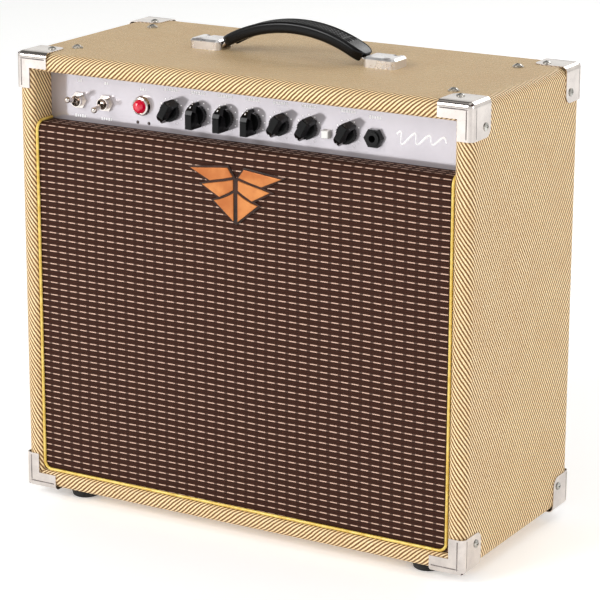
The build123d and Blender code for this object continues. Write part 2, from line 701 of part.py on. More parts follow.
for name, x, rest_turn in knobs:
    with BuildPart() as knob:
        with Locations(Location((x, PANEL_Y - KNOB_GAP, CONTROL_Z), (0, rest_turn, 0))):
            add(knob_master.part)
            add(shaft_master.part)
    save(knob.part, "knob_" + name)

# ---------------------------------------------------------------- toggle switches
TOGGLE_MOUTH = 8.0         # how far the threaded neck stands out of the panel
PIVOT_Y = PANEL_Y - 5.0
with BuildPart() as toggle_switches:
    for _, x, _ in TOGGLES:
        with Locations((x, TRAY_FRONT + SHEET + 8.0, CONTROL_Z)):
            Box(13.0, 16.0, 22.0)
        with BuildSketch(Plane.XZ.offset(-(TRAY_FRONT + SHEET))):
            with Locations((x, CONTROL_Z)):
                Circle(5.9)
        extrude(amount=SHEET + FACEPLATE + TOGGLE_MOUTH)
        with BuildSketch(Plane.XZ.offset(-(PANEL_Y - 0.02))):
            with Locations((x, CONTROL_Z)):
                RegularPolygon(8.4, 6)
        extrude(amount=2.6)
        with Locations(Location((x, PANEL_Y - TOGGLE_MOUTH / 2, CONTROL_Z), (90, 0, 0))):
            Cone(3.6, 5.2, TOGGLE_MOUTH + 0.1, mode=Mode.SUBTRACT)
        with Locations((x, PIVOT_Y, CONTROL_Z)):
            Sphere(4.0, mode=Mode.SUBTRACT)
save(toggle_switches.part, "toggle_switches")

LEVER_LENGTH = 19.0
with BuildPart() as lever_master:
    Cylinder(3.2, 3.6, rotation=(0, 90, 0))
    fillet(lever_master.edges(), 0.5)
    with BuildSketch(Plane.XZ):
        Circle(1.5)
    with BuildSketch(Plane.XZ.offset(LEVER_LENGTH - 3.0)):
        Circle(2.9)
    loft()
    with Locations((0, -(LEVER_LENGTH - 3.0), 0)):
        Sphere(2.9)
for name, x, tilt in TOGGLES:
    with BuildPart() as lever:
        with Locations(Location((x, PIVOT_Y, CONTROL_Z), (-tilt, 0, 0))):
            add(lever_master.part)
    save(lever.part, name)

# ---------------------------------------------------------------- lamps, push button, input jack
with BuildPart() as pilot_lamp_bezel:
    with BuildSketch(Plane.XY.offset(JEWEL_Z)):
        with BuildLine():
            Polyline(
                (JEWEL_X, TRAY_FRONT + 22), (JEWEL_X + 5.9, TRAY_FRONT + 22), (JEWEL_X + 5.9, PANEL_Y - 0.02),
                (JEWEL_X + 9.4, PANEL_Y - 0.02), (JEWEL_X + 9.4, PANEL_Y - 2.4), (JEWEL_X + 8.2, PANEL_Y - 4.6),
                (JEWEL_X + 8.2, PANEL_Y - 6.0), (JEWEL_X + 6.9, PANEL_Y - 6.4), (JEWEL_X + 6.9, PANEL_Y - 3.0),
                (JEWEL_X + 4.4, PANEL_Y - 3.0), (JEWEL_X + 4.4, TRAY_FRONT + 20), (JEWEL_X, TRAY_FRONT + 20),
                close=True,
            )
        make_face()
    revolve(axis=Axis((JEWEL_X, 0, JEWEL_Z), (0, 1, 0)))
save(pilot_lamp_bezel.part, "pilot_lamp_bezel")

with BuildPart() as jewel_master:
    with BuildSketch(Plane.XZ.offset(3.1)):
        RegularPolygon(6.6, 8)
    with BuildSketch(Plane.XZ.offset(9.0)):
        RegularPolygon(6.2, 8)
    loft()
    with BuildSketch(Plane.XZ.offset(9.0)):
        RegularPolygon(6.2, 8)
    with BuildSketch(Plane.XZ.offset(12.5)):
        RegularPolygon(2.6, 8)
    loft()
with BuildPart() as pilot_jewel:
    with Locations((JEWEL_X, PANEL_Y, JEWEL_Z)):
        add(jewel_master.part)
save(pilot_jewel.part, "pilot_jewel")

with BuildPart() as channel_leds:
    for x, z in LED_PLACES:
        with Locations(facing(x, TRAY_FRONT + 6.0, z, (0, -1, 0))):
            Cylinder(1.5, 8.0, align=(Align.CENTER, Align.CENTER, Align.MIN))
    fillet(channel_leds.edges().group_by(Axis.Y)[0], 1.0)
save(channel_leds.part, "channel_leds")

BUTTON_SIZE = 7.0
BODY_FRONT = TRAY_FRONT + SHEET
with BuildPart() as boost_switch_body:
    with Locations((BUTTON_X, BODY_FRONT + 0.02, BUTTON_Z)):
        Box(11.0, 18.0, 11.0, align=(Align.CENTER, Align.MIN, Align.CENTER))
        Box(BUTTON_HOLE, 15.0, BUTTON_HOLE, align=(Align.CENTER, Align.MIN, Align.CENTER), mode=Mode.SUBTRACT)
save(boost_switch_body.part, "boost_switch_body")

with BuildPart() as boost_button:
    with Locations((BUTTON_X, PANEL_Y - 5.0, BUTTON_Z)):
        Box(BUTTON_SIZE, 16.0, BUTTON_SIZE, align=(Align.CENTER, Align.MIN, Align.CENTER))
    fillet(boost_button.faces().sort_by(Axis.Y)[0].edges(), 0.7)
save(boost_button.part, "boost_button")

PLUG_BORE = 3.25
JACK_DEPTH = 30.0


def jack(plane_normal, x, y_face, z, wall):
    """A quarter-inch jack: body behind the sheet, neck and hex nut in front of it."""
    with BuildPart() as body:
        with BuildSketch(Plane.XY):
            Circle(8.8)
        extrude(amount=-wall - 0.02 - 24.0)
        with BuildSketch(Plane.XY.offset(-wall - 0.02)):
            Circle(8.9)
            Circle(5.5, mode=Mode.SUBTRACT)
        extrude(amount=wall + 0.04, mode=Mode.SUBTRACT)
        with BuildSketch(Plane.XY.offset(-wall - 1.0)):
            Circle(JACK_HOLE - 0.1)
        extrude(amount=wall + 3.0)
        with BuildSketch(Plane.XY.offset(0.02)):
            RegularPolygon(9.35, 6)
        extrude(amount=4.6)
        with BuildSketch(Plane.XY.offset(4.5)):
            Circle(6.6)
        extrude(amount=1.7)
        with BuildSketch(Plane.XY.offset(6.2)):
            Circle(PLUG_BORE)
        extrude(amount=-JACK_DEPTH, mode=Mode.SUBTRACT)
    with BuildPart() as placed:
        with Locations(Plane(origin=(x, y_face, z), x_dir=(1, 0, 0), z_dir=plane_normal)):
            add(body.part)
    return placed.part


save(jack((0, -1, 0), JACK_X, PANEL_Y, JACK_Z, FACEPLATE + SHEET), "input_jack")
with BuildPart() as rear_jacks:
    for x in REAR_JACKS:
        add(jack((0, 1, 0), x, TRAY_BACK, REAR_Z, SHEET))
save(rear_jacks.part, "rear_jacks")

# ---------------------------------------------------------------- mains inlet and fuse
with BuildPart() as mains_inlet:
    with Locations((INLET_X, TRAY_BACK + 0.02, REAR_Z)):
        Box(48.0, 3.0, 26.0, align=(Align.CENTER, Align.MIN, Align.CENTER))
    fillet(mains_inlet.edges().filter_by(Axis.Y), 4.0)
    with Locations((INLET_X, TRAY_BACK + 1.0, REAR_Z)):
        Box(27.6, 25.0, 20.6, align=(Align.CENTER, Align.MAX, Align.CENTER))
    with Locations((INLET_X, TRAY_BACK + 4.0, REAR_Z)):
        Box(24.4, 22.0, 16.4, align=(Align.CENTER, Align.MAX, Align.CENTER), mode=Mode.SUBTRACT)
    for x, z in ((-7.0, -2.0), (0.0, 2.0), (7.0, -2.0)):
        with Locations((INLET_X + x, TRAY_BACK - 20.0, REAR_Z + z)):
            Box(2.0, 16.0, 4.0, align=(Align.CENTER, Align.MIN, Align.CENTER))
    for x in (-20.0, 20.0):
        with Locations(facing(INLET_X + x, TRAY_BACK + 3.0, REAR_Z, (0, 1, 0))):
            Cylinder(1.6, 3.0, mode=Mode.SUBTRACT)
save(mains_inlet.part, "mains_inlet")

with BuildPart() as fuse_holder:
    with BuildSketch(Plane.XZ.offset(-(TRAY_BACK + 0.02))):
        with Locations((FUSE_X, REAR_Z)):
            Circle(8.5)
    extrude(amount=-3.0)
    with BuildSketch(Plane.XZ.offset(-(TRAY_BACK + 1.0))):
        with Locations((FUSE_X, REAR_Z)):
            Circle(6.0)
    extrude(amount=30.0)
    with BuildSketch(Plane.XZ.offset(-(TRAY_BACK + 4.0))):
        with Locations((FUSE_X, REAR_Z)):
            Circle(4.05)
    extrude(amount=24.0, mode=Mode.SUBTRACT)
save(fuse_holder.part, "fuse_holder")

with BuildPart() as fuse_cap:
    with BuildSketch(Plane.XZ.offset(-(TRAY_BACK + 3.4))):
        with Locations((FUSE_X, REAR_Z)):
            Circle(6.8)
    extrude(amount=-7.0)
    with BuildSketch(Plane.XZ.offset(-(TRAY_BACK + 3.4))):
        with Locations((FUSE_X, REAR_Z)):
            Circle(4.0)
    extrude(amount=20.0)
    with Locations((FUSE_X, TRAY_BACK + 10.4, REAR_Z)):
        Box(9.0, 3.0, 1.6, mode=Mode.SUBTRACT)
    chamfer(fuse_cap.faces().sort_by(Axis.Y)[-1].outer_wire().edges(), 0.6)
save(fuse_cap.part, "fuse_cap")

# ---------------------------------------------------------------- loudspeaker
SPEAKER_AXIS = Axis((0, 0, SPEAKER_Z), (0, 1, 0))
SEAT = BAFFLE_BACK + 0.05
FLANGE_RADIUS = 155.0
CONE_RADIUS = 124.0
COIL_RADIUS = 25.0


def revolved(points):
    """A solid of revolution about the loudspeaker's axis, from radius and depth pairs."""
    with BuildPart() as shape:
        with BuildSketch(Plane.XY.offset(SPEAKER_Z)):
            with BuildLine():
                Polyline(*points, close=True)
            make_face()
        revolve(axis=SPEAKER_AXIS)
    return shape.part


with BuildPart() as speaker_basket:
    add(revolved([
        (142.0, SEAT), (FLANGE_RADIUS, SEAT), (FLANGE_RADIUS, SEAT + 2.0), (145.0, SEAT + 2.0),
        (68.0, SEAT + 66.0), (68.0, SEAT + 84.0), (30.0, SEAT + 84.0), (30.0, SEAT + 82.0),
        (66.0, SEAT + 82.0), (66.0, SEAT + 65.0), (142.0, SEAT + 2.0),
    ]))
    with Locations(facing(0, SEAT + 36.0, SPEAKER_Z, (0, 1, 0))):
        with PolarLocations(105.0, 8):
            Box(44.0, 46.0, 40.0, mode=Mode.SUBTRACT)
    with Locations(facing(0, SEAT, SPEAKER_Z, (0, 1, 0))):
        with PolarLocations(SCREW_CIRCLE, 8, start_angle=22.5):
            Cylinder(SCREW_HOLE + 0.3, 12.0, mode=Mode.SUBTRACT)
save(speaker_basket.part, "speaker_basket")

magnet_front = SEAT + 84.05
with BuildPart() as speaker_magnet:
    add(revolved([
        (27.5, magnet_front), (60.0, magnet_front), (60.0, magnet_front + 6), (70.0, magnet_front + 6),
        (70.0, magnet_front + 24), (62.0, magnet_front + 24), (60.0, magnet_front + 30),
        (0.0, magnet_front + 30), (0.0, magnet_front), (22.5, magnet_front), (22.5, magnet_front + 24),
        (40.0, magnet_front + 24), (40.0, magnet_front + 6), (27.5, magnet_front + 6),
    ]))
save(speaker_magnet.part, "speaker_magnet")

cone_front = SEAT + 1.0
cone_back = SEAT + 58.0
with BuildPart() as speaker_cone:
    add(revolved([
        (CONE_RADIUS, cone_front), (CONE_RADIUS + 1.4, cone_front + 0.4), (90.0, cone_front + 27.0),
        (55.0, cone_back - 14.0), (COIL_RADIUS + 0.8, cone_back + 1.2), (COIL_RADIUS + 0.5, cone_back + 40.0),
        (COIL_RADIUS - 0.1, cone_back + 40.0), (COIL_RADIUS - 0.1, cone_back - 1.0),
        (54.0, cone_back - 15.4), (89.0, cone_front + 25.8),
    ]))
    add(revolved([
        (0.0, cone_back - 24.0), (16.0, cone_back - 22.4), (28.0, cone_back - 17.5), (36.0, cone_back - 9.0),
        (37.0, cone_back - 7.2), (35.4, cone_back - 7.6), (27.0, cone_back - 16.3), (15.6, cone_back - 21.2),
        (0.0, cone_back - 22.8),
    ]))
save(speaker_cone.part, "speaker_cone")

save(revolved([
    (CONE_RADIUS + 1.5, cone_front - 0.6), (129.0, cone_front - 3.6), (133.0, cone_front - 0.6),
    (137.0, cone_front - 3.6), (141.6, cone_front - 0.6), (141.6, cone_front + 0.2),
    (137.0, cone_front - 2.8), (133.0, cone_front + 0.2), (129.0, cone_front - 2.8),
    (CONE_RADIUS + 1.5, cone_front + 0.2),
]), "speaker_surround")

spider_y = SEAT + 66.0
spider_profile = [(COIL_RADIUS + 0.9, spider_y), (COIL_RADIUS + 0.9, spider_y + 0.8)]
for step in range(1, 8):
    spider_profile.append((COIL_RADIUS + 5.0 * step, spider_y + 0.8 + (2.4 if step % 2 else 0.0)))
spider_profile.append((65.9, spider_y + 0.8))
spider_profile.append((65.9, spider_y))
for step in range(7, 0, -1):
    spider_profile.append((COIL_RADIUS + 5.0 * step, spider_y + (2.4 if step % 2 else 0.0)))
save(revolved(spider_profile), "speaker_spider")

speaker_screw = pan_head_screw(4.0, 2.4, SCREW_RADIUS, 11.0)
with BuildPart() as speaker_screws:
    with Locations(facing(0, SEAT + 2.05, SPEAKER_Z, (0, 1, 0))):
        with PolarLocations(SCREW_CIRCLE, 8, start_angle=22.5):
            add(speaker_screw)
save(speaker_screws.part, "speaker_screws")

# ---------------------------------------------------------------- back panels and speaker lead
UPPER_LOW = 262.0
UPPER_HIGH = TRAY_LOW - 2.0
LOWER_HIGH = 130.0
PANEL_HALF = INNER_X - 1.0
back_screw_planes = []
for x in (-205.0, 205.0):
    for z in (UPPER_LOW + 14.0, UPPER_HIGH - 14.0, INNER_BOTTOM + 22.0, LOWER_HIGH - 14.0):
        back_screw_planes.append(facing(x, BACK_PANEL_Y + BACK_PANEL + 0.02, z, (0, 1, 0)))

for name, low, high in (
    ("back_panel_upper", UPPER_LOW, UPPER_HIGH),
    ("back_panel_lower", INNER_BOTTOM + 0.5, LOWER_HIGH),
):
    with BuildPart() as panel:
        with Locations((0, BACK_PANEL_Y + BACK_PANEL / 2 + 0.01, (low + high) / 2)):
            Box(2 * PANEL_HALF, BACK_PANEL, high - low)
        fillet(panel.faces().sort_by(Axis.Y)[-1].edges(), 2.0)
        if name == "back_panel_upper":
            with BuildSketch(facing(0, BACK, (low + high) / 2, (0, 1, 0))):
                with GridLocations(34.0, 0, 9, 1):
                    SlotOverall(60.0, 9.0, rotation=90)
            extrude(amount=-40.0, mode=Mode.SUBTRACT)
        cut_rods(back_screw_planes, SCREW_HOLE, 20.0)
    save(panel.part, name)

with BuildPart() as cabinet_battens:
    for side in (-1, 1):
        with Locations((side * (INNER_X - CLEAT / 2), BAFFLE_BACK + CLEAT / 2, 195.0)):
            Box(CLEAT, CLEAT, 330.0)
        with Locations((side * (BOARD_X - CLEAT / 2), BACK_PANEL_Y - CLEAT / 2, 195.0)):
            Box(CLEAT, CLEAT, 330.0)
    with Locations((0, BAFFLE_BACK + CLEAT / 2, INNER_BOTTOM + CLEAT / 2)):
        Box(360.0, CLEAT, CLEAT)
    with Locations((0, BACK_PANEL_Y - CLEAT / 2, INNER_BOTTOM - COVER + CLEAT / 2)):
        Box(360.0, CLEAT, CLEAT)
    cut_rods(back_screw_planes, SCREW_HOLE, 24.0)
save(cabinet_battens.part, "cabinet_battens")

with BuildPart() as back_panel_screws:
    back_screw = pan_head_screw(4.2, 2.2, SCREW_RADIUS, 20.0)
    for plane in back_screw_planes:
        with Locations(plane):
            add(back_screw)
save(back_panel_screws.part, "back_panel_screws")

LEAD_RADIUS = 2.5
LEAD_BEND = 12.0
lead_points = [
    (-60.0, 20.0, TRAY_LOW - 0.3),
    (-61.0, 19.0, TRAY_LOW - 26.0),
    (-66.0, 10.0, TRAY_LOW - 56.0),
    (-65.0, -2.0, TRAY_LOW - 82.0),
    (-60.0, -9.0, TRAY_LOW - 103.0),
    (-50.5, -10.5, TRAY_LOW - 120.2),
]
with BuildPart() as speaker_lead:
    with BuildLine() as lead_route:
        FilletPolyline(*lead_points, radius=LEAD_BEND)
    with BuildSketch(Plane(origin=lead_route.line @ 0, z_dir=lead_route.line % 0)):
        Circle(LEAD_RADIUS)
    sweep(path=lead_route.line)
save(speaker_lead.part, "speaker_lead")
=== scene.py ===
import json
import math

import bmesh
import bpy
from mathutils import Euler, Matrix, Vector


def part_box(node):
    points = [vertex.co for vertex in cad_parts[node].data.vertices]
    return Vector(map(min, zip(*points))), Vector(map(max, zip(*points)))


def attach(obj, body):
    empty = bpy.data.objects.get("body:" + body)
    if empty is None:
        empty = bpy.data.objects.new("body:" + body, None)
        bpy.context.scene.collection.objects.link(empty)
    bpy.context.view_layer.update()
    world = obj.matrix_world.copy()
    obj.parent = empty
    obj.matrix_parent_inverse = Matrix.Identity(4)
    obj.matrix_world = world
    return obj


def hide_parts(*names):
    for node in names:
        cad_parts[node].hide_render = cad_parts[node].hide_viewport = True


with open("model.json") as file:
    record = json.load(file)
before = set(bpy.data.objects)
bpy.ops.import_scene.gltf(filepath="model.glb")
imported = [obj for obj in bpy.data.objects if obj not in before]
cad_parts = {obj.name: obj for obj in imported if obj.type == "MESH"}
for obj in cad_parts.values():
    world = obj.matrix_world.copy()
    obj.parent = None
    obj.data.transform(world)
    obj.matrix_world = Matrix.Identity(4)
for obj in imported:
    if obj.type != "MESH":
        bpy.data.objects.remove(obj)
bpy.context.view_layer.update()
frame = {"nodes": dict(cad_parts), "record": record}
nodes = frame["nodes"]

MM = 0.001

# ------------------------------------------------------------------ places read from the frame
case_low, case_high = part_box("tweed_covering")
grille_low, grille_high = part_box("grille_cloth")
FRONT, BACK = case_low.y, case_high.y
PANEL_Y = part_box("control_panel")[0].y
# The covering: its depth inside the outer faces, how far it turns into each mouth, and its radii.
WALL = 17.5 * MM
FRONT_WRAP = 30.0 * MM
BACK_WRAP = 17.0 * MM
EDGE_RADIUS = 10.0 * MM
MOUTH_RADIUS = 6.0 * MM


def centre(name):
    """The middle of a CAD node's box."""
    low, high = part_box(name)
    return (low + high) / 2


# ------------------------------------------------------------------ node-building helpers
class Shader:
    """A material's node tree, with short calls for the few node kinds used here."""

    def __init__(self, name):
        self.material = bpy.data.materials.new(name)
        self.material.use_nodes = True
        self.tree = self.material.node_tree
        self.surface = self.tree.nodes["Principled BSDF"]

    def node(self, kind, **settings):
        made = self.tree.nodes.new(kind)
        for key, value in settings.items():
            setattr(made, key, value)
        return made

    def feed(self, socket, value):
        """Link an output to a socket, or write a constant on it."""
        if isinstance(value, bpy.types.NodeSocket):
            self.tree.links.new(value, socket)
        else:
            socket.default_value = value

    def math(self, operation, first, second=0.0, third=0.0):
        made = self.node("ShaderNodeMath", operation=operation)
        for socket, value in zip(made.inputs, (first, second, third)):
            self.feed(socket, value)
        return made.outputs[0]

    def step(self, value, low, high, out_low=0.0, out_high=1.0):
        """A smooth step of value from low to high."""
        made = self.node("ShaderNodeMapRange", interpolation_type="SMOOTHSTEP")
        for socket, number in zip(made.inputs, (value, low, high, out_low, out_high)):
            self.feed(socket, number)
        return made.outputs[0]

    def mix(self, factor, first, second):
        made = self.node("ShaderNodeMix", data_type="RGBA")
        self.feed(made.inputs["Factor"], factor)
        self.feed(made.inputs[6], first)
        self.feed(made.inputs[7], second)
        return made.outputs[2]

    def split(self, vector):
        made = self.node("ShaderNodeSeparateXYZ")
        self.feed(made.inputs[0], vector)
        return made.outputs

    def noise(self, vector, scale, detail=2.0, roughness=0.5):
        made = self.node("ShaderNodeTexNoise")
        self.feed(made.inputs["Vector"], vector)
        made.inputs["Scale"].default_value = scale
        made.inputs["Detail"].default_value = detail
        made.inputs["Roughness"].default_value = roughness
        return made.outputs["Fac"]

    def object_place(self):
        return self.node("ShaderNodeTexCoord").outputs["Object"]

    def stretched_place(self, scale):
        mapping = self.node("ShaderNodeMapping")
        self.feed(mapping.inputs["Vector"], self.object_place())
        mapping.inputs["Scale"].default_value = scale
        return mapping.outputs[0]

    def woven_place(self):
        return self.node("ShaderNodeUVMap", uv_map="weave").outputs[0]

    def wave(self, value, pitch):
        """A sine between 0 and 1 that repeats every pitch."""
        turn = self.math("MULTIPLY", value, 2 * math.pi / pitch)
        return self.math("MULTIPLY_ADD", self.math("SINE", turn), 0.5, 0.5)

    def bump(self, height, distance, strength=1.0):
        made = self.node("ShaderNodeBump")
        made.inputs["Strength"].default_value = strength
        made.inputs["Distance"].default_value = distance
        self.feed(made.inputs["Height"], height)
        self.feed(self.surface.inputs["Normal"], made.outputs[0])

    def set(self, **values):
        for key, value in values.items():
            self.feed(self.surface.inputs[key.replace("_", " ")], value)


def rgb(red, green, blue):
    """A colour given as display values from 0 to 255, as the linear one a shader needs."""
    linear = [(c / 255 / 12.92) if c < 11 else ((c / 255 + 0.055) / 1.055) ** 2.4
              for c in (red, green, blue)]
    return (*linear, 1.0)


def finish_of(name, first, second, roughness, metallic=0.0, grain=60.0, bump=0.0, bump_scale=900.0,
              stretch=(1, 1, 1), **sockets):
    """A general surface: two tones in soft patches, uneven gloss and a fine grain."""
    made = Shader(name)
    place = made.object_place() if stretch == (1, 1, 1) else made.stretched_place(stretch)
    patches = made.noise(place, grain, 4.0, 0.6)
    made.set(Base_Color=made.mix(made.step(patches, 0.3, 0.7), first, second))
    spread = made.noise(place, grain * 2.3, 3.0)
    made.set(Roughness=made.step(spread, 0.2, 0.8, roughness * 0.8, min(1.0, roughness * 1.25)))
    made.set(Metallic=metallic)
    if bump:
        made.bump(made.noise(place, bump_scale, 3.0), bump)
    made.set(**sockets)
    return made.material


# ------------------------------------------------------------------ materials
# The tweed's stripes and threads, and the direction across its stripes on a flat board, as (x, z).
STRIPE_PITCH = 3.1 * MM
THREAD_PITCH = 1.15 * MM
STRIPE_ACROSS = (0.77, 0.64)
# The grille cloth's repeats: pale floats along a row, rows, ribs and cross threads.
DASH_PITCH = 11.1 * MM
ROW_PITCH = 6.15 * MM
RIB_PITCH = 2.05 * MM
CROSS_PITCH = 1.39 * MM


def tweed_material(name, on_flat_board):
    """Diagonal cream and brown stripes of twisted thread under a thin lacquer."""
    made = Shader(name)
    if on_flat_board:
        x, _, z = made.split(made.object_place())
        over, up = STRIPE_ACROSS
        across = made.math("MULTIPLY_ADD", x, over, made.math("MULTIPLY", z, up))
        along = made.math("MULTIPLY_ADD", x, up, made.math("MULTIPLY", z, -over))
        place = made.object_place()
    else:
        place = made.woven_place()
        across, along, _ = made.split(place)
    drift = made.noise(place, 11.0, 1.0)
    tremble = made.noise(place, 170.0, 2.0)
    moved = made.math("MULTIPLY_ADD", drift, 5.0 * MM, across)
    moved = made.math("MULTIPLY_ADD", tremble, 0.9 * MM, moved)
    stripe = made.wave(moved, STRIPE_PITCH)
    thread = made.wave(along, THREAD_PITCH)
    edge = made.math("MULTIPLY_ADD", made.math("SUBTRACT", thread, 0.5), 0.22, stripe)
    cream_share = made.step(edge, 0.34, 0.66)
    tone = made.step(made.noise(place, 900.0, 2.0), 0.25, 0.75)
    cream = made.mix(tone, rgb(246, 206, 149), rgb(255, 237, 196))
    brown = made.mix(tone, rgb(93, 60, 24), rgb(134, 93, 46))
    cloth = made.mix(cream_share, brown, cream)
    soil = made.step(made.noise(place, 23.0, 3.0), 0.35, 0.8, 0.0, 0.16)
    made.set(Base_Color=made.mix(soil, cloth, rgb(178, 129, 82)))
    made.set(Roughness=made.step(cream_share, 0.0, 1.0, 0.62, 0.5))
    made.set(Coat_Weight=0.04, Coat_Roughness=0.35, Specular_IOR_Level=0.3)
    height = made.math("MULTIPLY_ADD", thread, 0.35, made.math("MULTIPLY", cream_share, 0.8))
    made.bump(height, 0.25 * MM, 0.9)
    return made.material


def grille_material():
    """Dark ribbed cloth with rows of short pale floats, all in line."""
    made = Shader("grille_weave")
    place = made.woven_place()
    x, z, _ = made.split(place)
    drift = made.noise(place, 9.0, 1.0)
    x = made.math("MULTIPLY_ADD", drift, 4.0 * MM, x)
    z = made.math("MULTIPLY_ADD", made.noise(place, 7.0, 1.0), 3.0 * MM, z)
    row = made.math("FRACT", made.math("DIVIDE", z, ROW_PITCH))
    column = made.math("FRACT", made.math("DIVIDE", x, DASH_PITCH))
    off_row = made.math("ABSOLUTE", made.math("SUBTRACT", row, 0.5))
    off_column = made.math("ABSOLUTE", made.math("SUBTRACT", column, 0.5))
    float_row = made.step(off_row, 0.065, 0.115, 1.0, 0.0)
    float_column = made.step(off_column, 0.30, 0.38, 1.0, 0.0)
    between = made.math("MULTIPLY_ADD", float_column, 0.86, 0.14)
    dash = made.math("MULTIPLY", float_row, between)
    rib = made.wave(z, RIB_PITCH)
    cross = made.wave(x, CROSS_PITCH)
    dull_row = made.step(off_row, 0.12, 0.30, 0.35, 0.0)
    ground = made.mix(rib, rgb(25, 8, 3), rgb(54, 25, 14))
    ground = made.mix(made.math("MULTIPLY", cross, 0.35), ground, rgb(86, 50, 35))
    ground = made.mix(dull_row, ground, rgb(24, 10, 7))
    tint = made.mix(made.noise(place, 420.0), rgb(188, 150, 130), rgb(226, 194, 176))
    made.set(Base_Color=made.mix(dash, ground, tint))
    made.set(Roughness=0.85, Specular_IOR_Level=0.2)
    height = made.math("MULTIPLY_ADD", rib, 0.3, made.math("MULTIPLY", cross, 0.12))
    made.bump(made.math("MULTIPLY_ADD", dash, 0.8, height), 0.45 * MM)
    return made.material


def plywood_material():
    """Pale board with drawn-out grain."""
    made = Shader("birch")
    grain = made.noise(made.stretched_place((3, 26, 26)), 9.0, 6.0, 0.6)
    made.set(Base_Color=made.mix(made.step(grain, 0.3, 0.7), rgb(150, 112, 70), rgb(204, 170, 122)))
    made.set(Roughness=0.62)
    made.bump(grain, 0.2 * MM)
    return made.material


def brushed(name, tone, dark, roughness, stretch):
    """Metal with fine drawn scratches along one axis."""
    made = Shader(name)
    lines = made.noise(made.stretched_place(stretch), 300.0, 4.0, 0.7)
    made.set(Base_Color=made.mix(lines, dark, tone))
    made.set(Metallic=1.0)
    made.set(Roughness=made.step(lines, 0.2, 0.8, roughness * 0.75, roughness * 1.3))
    made.bump(lines, 0.03 * MM)
    return made.material


def cone_material():
    """Pulp paper with fine pale fibres."""
    made = Shader("cone_pulp")
    place = made.object_place()
    fibres = made.noise(place, 420.0, 5.0, 0.7)
    made.set(Base_Color=made.mix(fibres, rgb(26, 23, 21), rgb(62, 56, 50)))
    made.set(Roughness=0.9)
    made.bump(fibres, 0.25 * MM)
    return made.material


TWEED = tweed_material("tweed_cloth", False)
TWEED_BOARD = tweed_material("tweed_board", True)
GRILLE = grille_material()
PLYWOOD = plywood_material()
BLACK_WOOD = finish_of("black_stain", rgb(20, 19, 18), rgb(38, 35, 32), 0.7, bump=0.2 * MM,
                       stretch=(1, 6, 6))
NICKEL = finish_of("nickel_plate", rgb(200, 192, 187), rgb(222, 214, 208), 0.12, 1.0, 45.0, 0.02 * MM,
                   500.0)
# Darker nickel for the pressed folds: painted shade in the creases.
CREASE_SHADE_NICKEL = finish_of("nickel_crease_shade", rgb(96, 90, 88), rgb(150, 142, 138), 0.3, 1.0, 60.0)
CAP_CHROME = finish_of("cap_chrome", rgb(226, 222, 222), rgb(246, 244, 244), 0.3, 1.0, 45.0)
SCREW = finish_of("screw_plate", rgb(150, 148, 142), rgb(212, 210, 205), 0.24, 1.0, 200.0, 0.03 * MM,
                  1500.0)
RUBBER = finish_of("foot_rubber", rgb(16, 16, 17), rgb(30, 30, 31), 0.68, bump=0.1 * MM)
VINYL = finish_of("strap_vinyl", rgb(3, 3, 4), rgb(7, 7, 8), 0.2, bump=0.04 * MM, bump_scale=1400.0,
                  Specular_IOR_Level=0.24)
PIPING = finish_of("piping_gold", rgb(210, 172, 66), rgb(236, 208, 112), 0.38, 0.15, 120.0, 0.08 * MM,
                   1600.0, Coat_Weight=0.3)
PANEL = finish_of("panel_silver", rgb(192, 187, 193), rgb(199, 194, 200), 0.13, 0.5, 14.0)
PRINT = finish_of("white_print", rgb(240, 240, 242), rgb(252, 252, 252), 0.5, grain=400.0)
BADGE = finish_of("badge_copper", rgb(178, 100, 46), rgb(212, 138, 76), 0.36, 0.45, 30.0, 0.04 * MM,
                  1200.0)
# Dark bronze for the badge plate: painted shadow round the raised feathers. The corner eyelets take the same
# colour.
BADGE_SHADOW_BRONZE = finish_of("badge_shadow", rgb(30, 14, 6), rgb(64, 30, 14), 0.5, 0.3, 60.0)
ZINC = brushed("zinc_sheet", rgb(190, 190, 188), rgb(150, 150, 150), 0.42, (1, 12, 12))
POT_CAN = brushed("pot_can", rgb(200, 196, 184), rgb(150, 146, 136), 0.36, (6, 1, 6))
PHENOLIC = finish_of("knob_black", rgb(4, 4, 5), rgb(8, 8, 9), 0.11, grain=90.0, Specular_IOR_Level=0.16)
NYLON = finish_of("jack_nylon", rgb(6, 6, 7), rgb(14, 14, 15), 0.3, bump=0.04 * MM,
                  Specular_IOR_Level=0.25)
WHITE_PLASTIC = finish_of("button_white", rgb(232, 231, 226), rgb(248, 248, 245), 0.33,
                          bump=0.02 * MM)
SOLDER_MASK = finish_of("solder_mask", rgb(10, 66, 34), rgb(22, 96, 52), 0.36, grain=120.0,
                        bump=0.05 * MM)
ENAMEL = finish_of("black_enamel", rgb(18, 18, 19), rgb(34, 34, 35), 0.4, bump=0.1 * MM)
CAN_BLUE = finish_of("can_sleeve", rgb(14, 24, 66), rgb(28, 44, 104), 0.3, Coat_Weight=0.3)
CERAMIC = finish_of("socket_ceramic", rgb(206, 200, 184), rgb(232, 228, 216), 0.55, bump=0.1 * MM)
BASKET = finish_of("basket_paint", rgb(34, 35, 38), rgb(56, 57, 60), 0.42, 0.2, bump=0.08 * MM)
CONE = cone_material()
SURROUND = finish_of("surround_cloth", rgb(18, 18, 18), rgb(34, 33, 32), 0.72, bump=0.2 * MM)
SPIDER = finish_of("spider_cloth", rgb(150, 100, 34), rgb(190, 136, 58), 0.6, bump=0.25 * MM)
CABLE = finish_of("cable_jacket", rgb(14, 14, 14), rgb(26, 26, 26), 0.5, bump=0.05 * MM)
LED = finish_of("led_dome", rgb(40, 30, 30), rgb(70, 44, 40), 0.15, Coat_Weight=0.6)

